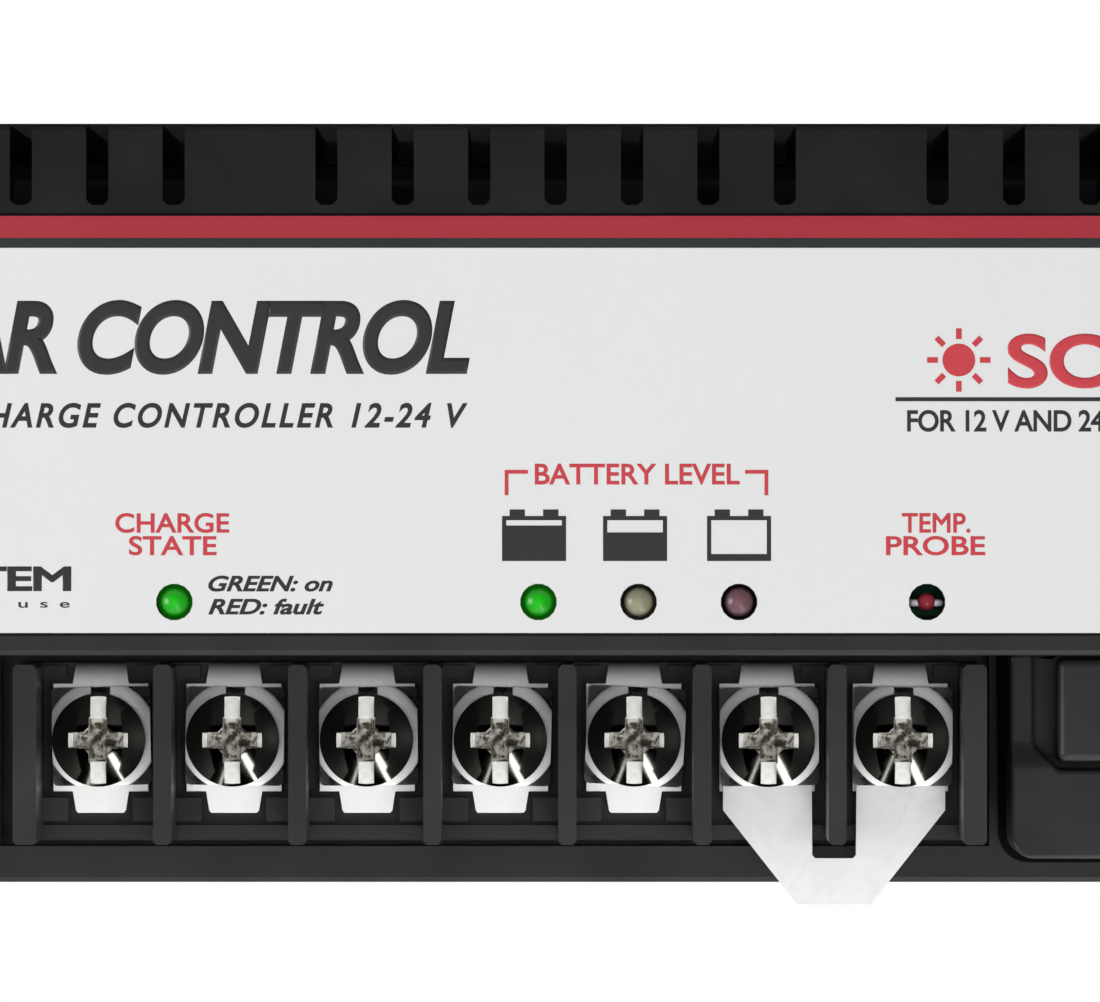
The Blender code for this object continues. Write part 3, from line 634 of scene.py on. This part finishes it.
def screw_mesh():
    """A combination screw about its own axis, from its tip at z = 0: a polished cap with a slot across it and
    a tapered cross, both punched."""
    low, high = view_box("terminal_screw_1")
    seat = view_box("clamp_plate_1")[1].z + 0.3 - low.z
    radius, shank, top = (high.x - low.x) / 2, 2.2, high.z - low.z
    cap = 1.4
    ball = (radius ** 2 + cap ** 2) / (2 * cap)
    rim_tilt = asin(radius / ball)
    rim_steps = 14
    tilts = [rim_tilt * k / rim_steps for k in range(rim_steps, 0, -1)]
    dome = [(ball * sin(tilt), top - ball + ball * cos(tilt)) for tilt in tilts]
    dome_foot = dome[0][1]
    thread = []
    pitch, root = 0.8, shank - 0.42
    for k in range(int((seat - 0.9) / pitch)):
        z = 0.5 + k * pitch
        thread += [(root, z), (shank, z + 0.3), (shank, z + 0.42), (root, z + 0.72)]
    head = [(root, seat), (radius - 0.35, seat), (radius - 0.06, seat + 0.1), (radius, seat + 0.35),
            (radius, dome_foot - 0.12), (radius - 0.02, dome_foot - 0.04)]
    profile = [(0, 0), (root - 0.3, 0), *thread, *head, *dome, (0, top)]
    wide = radius + 1
    slot = block((-0.76, -wide, top - 1.22), (0.76, wide, top + 1), 1)
    for face in slot.faces:
        if face.normal.z < -0.5:
            face.material_index = 2
    cross = ((top + 0.3, 3.95, 0.95), (top - 0.9, 2.45, 0.62), (top - 1.6, 1.7, 0.5), (top - 2.5, 0.6, 0.3))
    along = ((top + 0.3, 2.3, 0.95), (top - 1.3, 2.1, 0.8), (top - 2.1, 1.3, 0.4), (top - 2.6, 0.6, 0.3))
    funnel = [(0, top - 2.75), (0.5, top - 2.4), (1.5, top - 0.95), (2.6, top + 0.3), (0, top + 0.3)]
    cuts = [slot, tapered_blade(cross, 0), tapered_blade(along, 90), turned(funnel, 4, look=1)]
    looks = (LOOKS["nickel_plate"], LOOKS["punched_nickel"], LOOKS["slot_floor"])
    return form(carved("screw_form", turned(profile, 96), [(shape, "DIFFERENCE") for shape in cuts], looks))


def clamp_mesh():
    """A loose square plate about its own axis: a round crown cut off by its sides, notched at the top and
    nicked at the foot."""
    low, high = view_box("clamp_plate_1")
    half, thick, top = 4.8, 0.8, high.z - low.z
    outer, inner, bore = 5.45, 4.3, 2.6
    crown = []
    for k in range(9):
        a = radians(10 + 68 * k / 8)
        out = inner + (outer - inner) * cos(a) / cos(radians(10))
        crown.append((out, thick + (top - thick) * sin(a) / sin(radians(78))))
    boss = turned([(0, thick - 0.3), (outer, thick - 0.3), *crown, (0, top)], 96, look=1)
    plate = prism(rounded_square(half, 0.5), 0, thick)
    cutters = [(boss, "UNION")]
    for turn in range(4):
        side = block((half, -9, -1), (9, 9, top + 1))
        side.transform(Matrix.Rotation(pi / 2 * turn, 4, "Z"))
        cutters.append((side, "DIFFERENCE"))
    cutters += [
        (block((-0.95, 3.0, thick + 0.15), (0.95, half + 1, top + 1)), "DIFFERENCE"),
        (block((-0.4, -half - 1, -1), (0.4, -half + 0.4, top + 1)), "DIFFERENCE"),
        (turned([(0, -1), (bore, -1), (bore, top + 1), (0, top + 1)], 48), "DIFFERENCE"),
    ]
    return form(carved("clamp_form", plate, cutters, (LOOKS["plain_nickel"], LOOKS["crown_nickel"])))


def contact_mesh():
    """A plate about the pole's axis: a flat tab below, one above that leans back, and a leg to the board."""
    low, high = view_box("terminal_contact_1")
    centre = view_centre("terminal_screw_1")
    half, tab, thick = (high.x - low.x) / 2 - 0.64, 2.75, 1.0
    front, back = high.z - low.z, high.z - low.z - thick
    tab_foot, tab_tip = low.y - centre.y, high.y - centre.y
    foot, head = tab_foot + 2.1, tab_tip - 1.75
    outline = [(-half, foot), (-tab, foot), (-tab + 0.3, tab_foot + 0.25), (-tab + 0.5, tab_foot),
               (tab - 0.5, tab_foot), (tab - 0.3, tab_foot + 0.25), (tab, foot), (half, foot),
               (half, head), (-half, head)]
    lean = []
    for k in range(9):
        rise = 2.1 * k / 8
        lean.append((head + rise, front - 0.3 * rise ** 2))
    side = [(head - 0.6, front), *lean, (tab_tip - 0.1, lean[-1][1] - 0.5), (head - 0.6, back + 0.1)]
    upper = side_prism(side, -tab + 0.15, tab - 0.15)
    for vert in upper.verts:
        vert.co.x *= 1.06 - 0.06 * (vert.co.y - head)
    cutters = [
        (upper, "UNION"),
        (block((-1.5, 5.96, 0), (1.5, 6.4, back + 0.3)), "UNION"),
        (turned([(0, -1), (2.5, -1), (2.5, front + 1), (0, front + 1)], 48), "DIFFERENCE"),
    ]
    return form(carved("contact_form", prism(outline, back, front), cutters, (LOOKS["contact_tin"],), 0.1))


def pole_piece(name, mesh, place, twist, body, slot, node):
    """One of a set of pieces that share a mesh made about the pole's own axis, set down at its place."""
    made = linked(name, mesh)
    made.matrix_world = Matrix.Translation(VIEW @ Vector(place)) @ Matrix.Rotation(-radians(twist), 4, "Y")
    rides(made, body, slot, node)


def make_terminals():
    """Seven poles, each of a screw, a loose clamp plate and a contact."""
    screws, clamps, contacts = screw_mesh(), clamp_mesh(), contact_mesh()
    shifts = (("terminal_screw", 0, 0), ("clamp_plate", *CLAMP_SHIFT), ("terminal_contact", 0, 0))
    for number in range(1, POLES + 1):
        centre = view_centre(f"terminal_screw_{number}")
        places = {
            node: (centre.x + aside, centre.y + lift, view_box(f"{node}_{number}")[0].z)
            for node, aside, lift in shifts
        }
        pole_piece(f"screw_{number}_fine", screws, places["terminal_screw"], 0.0, f"screw_{number}",
                   "nickel_plate", f"terminal_screw_{number}")
        pole_piece(f"clamp_{number}_fine", clamps, places["clamp_plate"], CLAMP_TWISTS[number - 1],
                   f"clamp_{number}", "nickel_plate", f"clamp_plate_{number}")
        pole_piece(f"contact_{number}_fine", contacts, places["terminal_contact"], 0.0, "root",
                   "tin_plate", f"terminal_contact_{number}")


# ---------------------------------------------------------------- small screws and the service corner


def make_fasteners():
    """Pan-head machine screws, as long as their node's box, with a cross recess and a rolled thread. Each
    kind has its count, its thread's and its head's radius, its head's height, and which way the head points:
    1 out of the wall, -1 to it."""
    kinds = (("clamp_bar_screw", 2, 1.5, 2.75, 2.2, 1), ("board_screw", 2, 1.25, 2.4, 2.0, 1),
             ("cover_screw", 4, 1.25, 2.2, 2.4, -1))
    for kind, count, radius, head, rise, way in kinds:
        low, high = view_box(f"{kind}_1")
        length = high.z - low.z
        seat, root, pitch = length - rise, radius - 0.28, 0.6
        thread = []
        for k in range(int((seat - 0.5) / pitch)):
            z = 0.3 + k * pitch
            thread += [(root, z), (radius, z + 0.22), (radius, z + 0.34), (root, z + 0.54)]
        domed = 0.55 * rise
        angles = [radians(a) for a in range(0, 84, 9)]
        dome = [(head * cos(a), length - domed + domed * sin(a)) for a in angles]
        under = [(root, seat), (head - 0.1, seat), (head, seat + 0.15)]
        profile = [(0, 0), (root - 0.3, 0), *thread, *under, *dome, (0, length)]
        levels = ((length + 0.2, 0.6 * head, 0.42), (length - 0.5, 0.45 * head, 0.3),
                  (length - 1.2, 0.2, 0.2))
        recess = [(tapered_blade(levels, turn), "DIFFERENCE") for turn in (0, 90)]
        looks = (LOOKS["spring_steel"],) * 3
        mesh = form(carved(f"{kind}_form", turned(profile, 48), recess, looks, 0.04))
        for number in range(1, count + 1):
            node = f"{kind}_{number}"
            low, high = view_box(node)
            centre = (low + high) / 2
            made = linked(f"{node}_fine", mesh)
            turn = Matrix.Rotation(0.4 * number, 4, "Y")
            if way < 0:
                turn = turn @ Matrix.Rotation(pi, 4, "Z")
            tip = Vector((centre.x, centre.y, low.z if way > 0 else high.z))
            made.matrix_world = Matrix.Translation(VIEW @ tip) @ turn
            rides(made, "root", "spring_steel", node)


def make_boot():
    """The pull-off boot over the jack and the switches: soft-edged, set back at its top, pocketed around its
    grip and hollow behind. A thin near-black sheet on the shelf just beyond its rim is a painted shadow: the
    dark line of the gap around it."""
    low, high = view_box("service_cover")
    base, floor, upper, front = low.z + 1.8, high.z - 4.5, high.z - 2.9, high.z - 1.5
    round_off = 2.2
    outline = [(low.x, high.y), *round_foot(low.x, high.x, low.y, round_off), (high.x, high.y)]
    above, ahead = high.y + 2, front + 2
    step_foot = high.y - 10.7
    step = [(above, upper), (high.y - 8.8, upper), (step_foot, front), (step_foot, ahead), (above, ahead)]
    left, right, foot, corner = low.x + 2.2, high.x - 2.2, high.y - 11.2, 2.4
    pocket = [(left, above), (left, foot + corner), (left + corner, foot), (right - corner, foot),
              (right, foot + corner), (right, above)]
    grip = block((low.x + 4.5, high.y - 10.3, floor - 1), (high.x - 4.5, high.y - 0.4, high.z))
    bmesh.ops.bevel(grip, geom=grip.edges[:], offset=0.8, segments=4, profile=0.5, affect="EDGES")
    skirt_low, skirt_high = Vector((low.x + 2.7, low.y + 1.9)), Vector((high.x - 3.7, high.y - 1.5))
    wall = Vector((1.2, 1.2))
    cutters = [
        (side_prism(step, low.x - 2, high.x + 2), "DIFFERENCE"),
        (prism(pocket, floor, ahead), "DIFFERENCE"),
        (grip, "UNION"),
        (block((*skirt_low, low.z), (*skirt_high, base + 1)), "UNION"),
        (block((*(skirt_low + wall), low.z - 1), (*(skirt_high - wall), high.z - 6.3)), "DIFFERENCE"),
    ]
    boot = carved("service_cover_boot", prism(outline, base, front), cutters, (LOOKS["elastomer"],), 0.45, 3)
    rides(boot, "service_cover", "elastomer", "service_cover")
    rim = [(low.x - 0.95, high.y), *round_foot(low.x, high.x, low.y, round_off, 0.75), (high.x + 0.3, high.y)]
    clear = wall / 2  # more than the boot's rounding, so the painted shadow sheet stays clear of the corner under the rim
    opening = block((*(skirt_low - clear), base - 2), (*(skirt_high + clear), base + 2))
    # painted shadow: a near-black sheet on the shelf stands in for the shade in the gap around the boot
    shadow_band = prism(rim, base - 0.28, base - 0.03)
    shadow_sheet = carved("service_cover_gap_shadow", shadow_band, [(opening, "DIFFERENCE")], (LOOKS["gap_shadow"],))
    rides(shadow_sheet, "root", "elastomer")


def make_service_details():
    """The jack's six sprung contacts and the numerals beside the switches, both seen once the boot is off."""
    low, high = view_box("data_jack")
    x = (low.x + high.x) / 2
    springs = bmesh.new()
    spacing = 1.02
    for k in range(6):
        across = x + spacing * (k - 2.5)
        route = [Vector((across, low.y + 10.1, low.z + 2.9)), Vector((across, low.y + 9.4, low.z + 4.0)),
                 Vector((across, low.y + 6.4, low.z + 8.2)), Vector((across, low.y + 5.9, low.z + 9.2)),
                 Vector((across, low.y + 6.3, low.z + 10.0))]
        put(springs, tube(route, 0.19, 8))
    made = view_object("jack_springs", springs, (LOOKS["gold_contact"],))
    baked(made, 50)
    rides(made, "root", "spring_steel")
    low, high = view_box("dip_switch_body")
    marks = bmesh.new()
    for number in range(1, 5):
        slider = view_centre(f"dip_slider_{number}")
        foot, top = (high.x - 0.78, slider.y - 0.5), (high.x - 0.3, slider.y + 0.5)
        put(marks, text_mesh(str(number), foot, top, face_out=high.z))
    put(marks, text_mesh("ON", (low.x + 3.2, high.y - 0.95), (low.x + 4.9, high.y - 0.2), face_out=high.z))
    made = view_object("dip_switch_marks", marks, (LOOKS["switch_white"],))
    rides(made, "root", "switch_white")


# ---------------------------------------------------------------- lamps and sensor


def make_lamps():
    """Four lamps, each a dome on a flange."""
    radius = 1.42
    for node, slot in (("charging_led", "lit_green_lens"), ("battery_led_green", "lit_green_lens"),
                       ("battery_led_amber", "amber_lens"), ("battery_led_red", "red_lens")):
        low, high = view_box(node)
        centre = view_centre(node)
        angles = [radians(a) for a in range(0, 90, 9)]
        dome = [(radius * cos(a), high.z - radius + radius * sin(a)) for a in angles]
        flange = [(1.9, low.z), (1.9, low.z + 0.85), (1.78, low.z + 1.0), (radius, low.z + 1.0)]
        profile = [(0, low.z), *flange, *dome, (0, high.z)]
        lamp = view_object(f"{node}_lens", turned(profile, 48), (LOOKS[slot],))
        middle = VIEW @ Vector((centre.x, centre.y, 0))
        lamp.matrix_world = Matrix.Translation(middle)
        lamp.data.shade_smooth()
        lamp.data.set_sharp_from_angle(angle=radians(40))
        rides(lamp, "root", slot, node)


def tube(points, radius, sides=12):
    """A round wire along points, with flat ends."""
    bm = bmesh.new()
    rings = []
    for k, point in enumerate(points):
        along = (points[min(k + 1, len(points) - 1)] - points[max(k - 1, 0)]).normalized()
        side = along.orthogonal().normalized() if k == 0 else (side - along * side.dot(along)).normalized()
        other = along.cross(side)
        rings.append([
            bm.verts.new(point + radius * (side * cos(2 * pi * j / sides) + other * sin(2 * pi * j / sides)))
            for j in range(sides)
        ])
    for near, far in zip(rings, rings[1:]):
        for j in range(sides):
            bm.faces.new((near[j], near[(j + 1) % sides], far[(j + 1) % sides], far[j]))
    bm.faces.new(rings[0])
    bm.faces.new(rings[-1])
    return bm


def make_sensor():
    """A glass bead lying across its hole, on two leads that bend back to the board."""
    centre = view_centre("temperature_sensor")
    low, high = view_box("temperature_sensor")
    bead_out = high.z - 1.0
    bead = [(0.85 * sin(radians(a)), -0.9 * cos(radians(a))) for a in range(0, 181, 12)]
    bead[0], bead[-1] = (0, bead[0][1]), (0, bead[-1][1])
    shape = turned(bead, 32)
    shape.transform(Matrix.Translation((centre.x, centre.y, bead_out)) @ Matrix.Rotation(pi / 2, 4, "Y"))
    made = view_object("sensor_bead", shape, (LOOKS["sensor_red"],))
    made.data.shade_smooth()
    rides(made, "root", "sensor_red", "temperature_sensor")
    leads = bmesh.new()
    bend_radius, lead_y = 0.42, centre.y - 0.12
    angles = [radians(t) for t in range(0, 91, 15)]
    for side in (-1, 1):
        bend = []
        for a in angles:
            out = centre.x + side * (0.9 + bend_radius * sin(a))
            bend.append(Vector((out, lead_y, bead_out - bend_radius * (1 - cos(a)))))
        route = [Vector((centre.x + side * 0.6, lead_y, bead_out)), *bend,
                 Vector((centre.x + side * 1.32, lead_y, low.z))]
        put(leads, tube(route, 0.34))
    wires = view_object("sensor_leads", leads, (LOOKS["tinned_lead"],))
    baked(wires)
    rides(wires, "root", "spring_steel")


# ---------------------------------------------------------------- label print


def text_mesh(text, low, high, slant=0.0, bold=0.0, spacing=1.0, face_out=None):
    """Lettering in the built-in face, fitted to a box on the label's face or on another face at face_out."""
    curve = bpy.data.curves.new("lettering", "FONT")
    curve.body = text
    curve.shear = slant
    curve.extrude = 0.01
    curve.bevel_depth = bold
    curve.bevel_resolution = 0
    curve.space_character = spacing
    curve.resolution_u = 10
    holder = linked("lettering", curve)
    bpy.context.view_layer.update()
    mesh = bpy.data.meshes.new_from_object(holder.evaluated_get(bpy.context.evaluated_depsgraph_get()))
    bpy.data.objects.remove(holder)
    bpy.data.curves.remove(curve)
    bm = bmesh.new()
    bm.from_mesh(mesh)
    bpy.data.meshes.remove(mesh)
    face_out = (face_out or view_box("label_overlay")[1].z) - PRINT_THICKNESS / 3
    lows, highs = ([pick(v.co[axis] for v in bm.verts) for axis in range(3)] for pick in (min, max))
    place = ((low[0], high[0]), (low[1], high[1]), (face_out, face_out + PRINT_THICKNESS))
    for vert in bm.verts:
        for axis, (start, end) in enumerate(place):
            vert.co[axis] = start + (vert.co[axis] - lows[axis]) * (end - start) / (highs[axis] - lows[axis])
    return bm


def raised(bm):
    """A flat shape gets the ink's thickness, from just inside the label's face."""
    face_out = view_box("label_overlay")[1].z
    for vert in bm.verts:
        vert.co.z = face_out - PRINT_THICKNESS / 3
    moved = bmesh.ops.extrude_face_region(bm, geom=bm.faces[:])["geom"]
    verts = [item for item in moved if isinstance(item, bmesh.types.BMVert)]
    bmesh.ops.translate(bm, vec=(0, 0, PRINT_THICKNESS), verts=verts)
    return bm


def patch(points):
    """A flat outline printed on the label."""
    bm = bmesh.new()
    bm.faces.new([bm.verts.new((x, y, 0)) for x, y in points])
    return raised(bm)


def bar(low, high):
    """A printed rectangle."""
    return patch([low, (high[0], low[1]), high, (low[0], high[1])])


def battery_icon(x, up, window):
    """A battery from the side, its lower left corner at (x, up); window is the height of its empty part."""
    width, height, frame_width = 6.06, 4.26, 0.4
    post_width, post_height, inset = 1.45, 0.62, 0.72
    foot = height - frame_width - window
    shapes = [
        bar((x, up), (x + width, up + foot)),
        bar((x, up + height - frame_width), (x + width, up + height)),
        bar((x, up + foot), (x + frame_width, up + height - frame_width)),
        bar((x + width - frame_width, up + foot), (x + width, up + height - frame_width)),
    ]
    for post in (inset, width - inset - post_width):
        shapes.append(bar((x + post, up + height), (x + post + post_width, up + height + post_height)))
    return shapes


def sun_icon(x, up, radius):
    """A plain disc with eight short rays."""
    shapes = [patch(arc((x, up), radius * 0.52, 0, 345, 23))]
    for k in range(8):
        ray = bar((-radius * 0.09, radius * 0.66), (radius * 0.09, radius))
        ray.transform(Matrix.Translation((x, up, 0)) @ Matrix.Rotation(pi * k / 4, 4, "Z"))
        shapes.append(ray)
    return shapes


def make_print():
    """The label's lettering and icons in generic words, placed from the lamps, the probe and its edges."""
    low, high = view_box("label_overlay")
    charge, full, half, empty = (view_centre(node) for node in (
        "charging_led", "battery_led_green", "battery_led_amber", "battery_led_red"))
    probe = view_centre("temperature_sensor")
    margin = low.x + 3.4
    title_right = full.x - 6.5
    dark = [
        text_mesh("SOLAR CONTROL", (margin, 12.85), (title_right, 19.94), 0.22, 0.04, 0.95),
        text_mesh("BATTERY CHARGE CONTROLLER 12-24 V", (margin, 7.82), (title_right - 0.2, 10.2),
                  0.25, 0.026, 1.2),
        text_mesh("GREEN: on", (charge.x + 3.2, charge.y + 0.98), (charge.x + 15.0, charge.y + 2.5),
                  0.3, 0.03),
        text_mesh("RED: fault", (charge.x + 3.2, charge.y - 1.2), (charge.x + 14.2, charge.y + 0.32),
                  0.3, 0.03),
        text_mesh("DC SYSTEM", (margin, charge.y + 1.0), (charge.x - 9.75, charge.y + 3.4), 0.0, 0.03, 0.95),
        text_mesh("outdoor use", (margin + 4, charge.y - 0.55), (charge.x - 9.9, charge.y + 0.25),
                  0.0, 0.012, 1.9),
        bar((probe.x - 3.0, probe.y + 19.0), (high.x - 3.4, probe.y + 19.38)),
        text_mesh("FOR 12 V AND 24 V SOLAR PANELS", (probe.x - 1.9, probe.y + 16.1),
                  (high.x - 3.6, probe.y + 18.18), 0, 0.022, 0.95),
    ]
    for lamp, shift, window in ((full, -0.42, 0.5), (half, -0.33, 1.15), (empty, 0.0, 3.2)):
        dark += battery_icon(lamp.x + shift - 3.03, lamp.y + 3.88, window)
    red = [
        text_mesh("CHARGE", (charge.x - 5.6, charge.y + 6.53), (charge.x + 5.2, charge.y + 8.42), 0, 0.02),
        text_mesh("STATE", (charge.x - 4.3, charge.y + 4.4), (charge.x + 4.0, charge.y + 6.25), 0, 0.02),
        text_mesh("BATTERY LEVEL", (full.x - 0.35, full.y + 11.1), (full.x + 19.05, full.y + 13.1), 0, 0.02),
        text_mesh("TEMP.", (probe.x - 2.4, probe.y + 6.53), (probe.x + 4.1, probe.y + 8.42), 0, 0.02),
        text_mesh("PROBE", (probe.x - 3.9, probe.y + 4.4), (probe.x + 5.5, probe.y + 6.25), 0, 0.02),
        text_mesh("SOLAR", (probe.x + 7.6, probe.y + 20.2), (high.x - 5.2, probe.y + 25.4), 0, 0.03),
    ]
    left, right, top, foot, line = full.x - 3.2, full.x + 21.75, full.y + 12.5, full.y + 10.1, 0.36
    for outer, inner in ((left, left + 2.2), (right, right - 2.2)):
        ends = sorted((outer, inner))
        sides = sorted((outer, outer + (line if outer < inner else -line)))
        red.append(bar((ends[0], top - line), (ends[1], top)))
        red.append(bar((sides[0], foot), (sides[1], top - line)))
    red += sun_icon(probe.x + 3.0, probe.y + 22.9, 3.0)
    for name, shapes in (("label_print_dark", dark), ("label_print_red", red)):
        whole = bmesh.new()
        for shape in shapes:
            put(whole, shape)
        made = view_object(name, whole, (LOOKS["ink_dark" if name.endswith("dark") else "ink_red"],))
        rides(made, "root", "label")


# ---------------------------------------------------------------- stage, light and camera


def make_camera():
    """A long lens straight on to the front, a little above the middle."""
    out = view_box("label_overlay")[1].z
    distance, view_width, sensor = 700.0, 104.1, 36.0
    aside, lift = -0.53, 0.91
    lens = bpy.data.cameras.new("camera")
    lens.sensor_width = sensor
    lens.lens = sensor * distance / view_width
    lens.clip_start = 0.01
    camera = linked("camera", lens)
    camera.location = VIEW @ Vector((aside, lift, out + distance))
    camera.rotation_euler = (pi / 2, 0, 0)
    bpy.context.scene.camera = camera


def area_light(name, place, target, size, power, along=(1, 0, 0), glossy=True):
    """A softbox at a place, aimed at a target, both in metres; its first size runs along a direction."""
    data = bpy.data.lights.new(name, "AREA")
    data.shape = "RECTANGLE"
    data.size, data.size_y = size
    data.energy = power
    lamp = linked(name, data)
    back = (Vector(place) - Vector(target)).normalized()
    side = (Vector(along) - back * back.dot(Vector(along))).normalized()
    turn = Matrix((side, back.cross(side), back)).transposed()
    lamp.matrix_world = Matrix.Translation(place) @ turn.to_4x4()
    lamp.visible_camera = False
    lamp.visible_glossy = glossy


def make_stage():
    """A pale floor, a white world and the softboxes and strips around the object."""
    scene = bpy.context.scene
    world = bpy.data.worlds.new("studio")
    world.use_nodes = True
    nodes, links = world.node_tree.nodes, world.node_tree.links
    seen = nodes.new("ShaderNodeMapRange")
    seen.inputs["To Min"].default_value, seen.inputs["To Max"].default_value = 0.4, 1.0
    links.new(nodes.new("ShaderNodeLightPath").outputs["Is Camera Ray"], seen.inputs["Value"])
    nodes["Background"].inputs["Color"].default_value = (1, 1, 1, 1)
    links.new(seen.outputs["Result"], nodes["Background"].inputs["Strength"])
    world.cycles_visibility.glossy = False
    scene.world = world
    scene.view_settings.view_transform = "Standard"
    bm = bmesh.new()
    bmesh.ops.create_grid(bm, x_segments=1, y_segments=1, size=8)
    floor = mesh_object("floor", bm)
    floor.location = (0, 0, -1.8)
    glow = {"Emission Color": (1, 1, 1, 1), "Emission Strength": 0.72}
    look = Look("pale_floor", (0.85, 0.85, 0.85), 0.9, **glow)
    look.drive("Base Color", look.tint(look.noise(400.0), 0.98, 1.0))
    floor.data.materials.append(look.material)
    floor.visible_glossy = False
    middle = Vector((0, -0.045, -0.022))
    area_light("under_softbox", (0, -0.03, -0.62), middle, (1.7, 0.32), 3.0)
    area_light("over_softbox", (0, -0.1, 0.7), middle, (1.6, 0.5), 1.2)
    for name, aside, width, power in (("right_strip", 0.46, 0.12, 1.4), ("left_strip", -0.34, 0.04, 0.2)):
        below = (1 - aside ** 2) ** 0.5
        lean, reach = radians(52), 0.72
        place = middle + reach * Vector((aside * sin(lean), -cos(lean), -below * sin(lean)))
        along = (aside * cos(lean), sin(lean), -below * cos(lean))
        area_light(name, place, middle, (0.78, width), power, along)
    for name, side in (("back_left", -1), ("back_right", 1)):
        area_light(name, (side * 0.9, 1.4, -0.34), (0, 0, 0), (0.9, 0.5), 14.0)
    area_light("left_softbox", (-0.75, -0.36, 0.05), middle, (0.4, 0.4), 4.0, (0, 0, 1))
    area_light("front_fill", (0.1, -1.1, -0.03), middle, (0.8, 0.18), 4.1, glossy=False)


make_camera()
make_stage()
dress_nodes()
make_terminals()
make_fasteners()
make_boot()
make_service_details()
make_lamps()
make_sensor()
make_print()
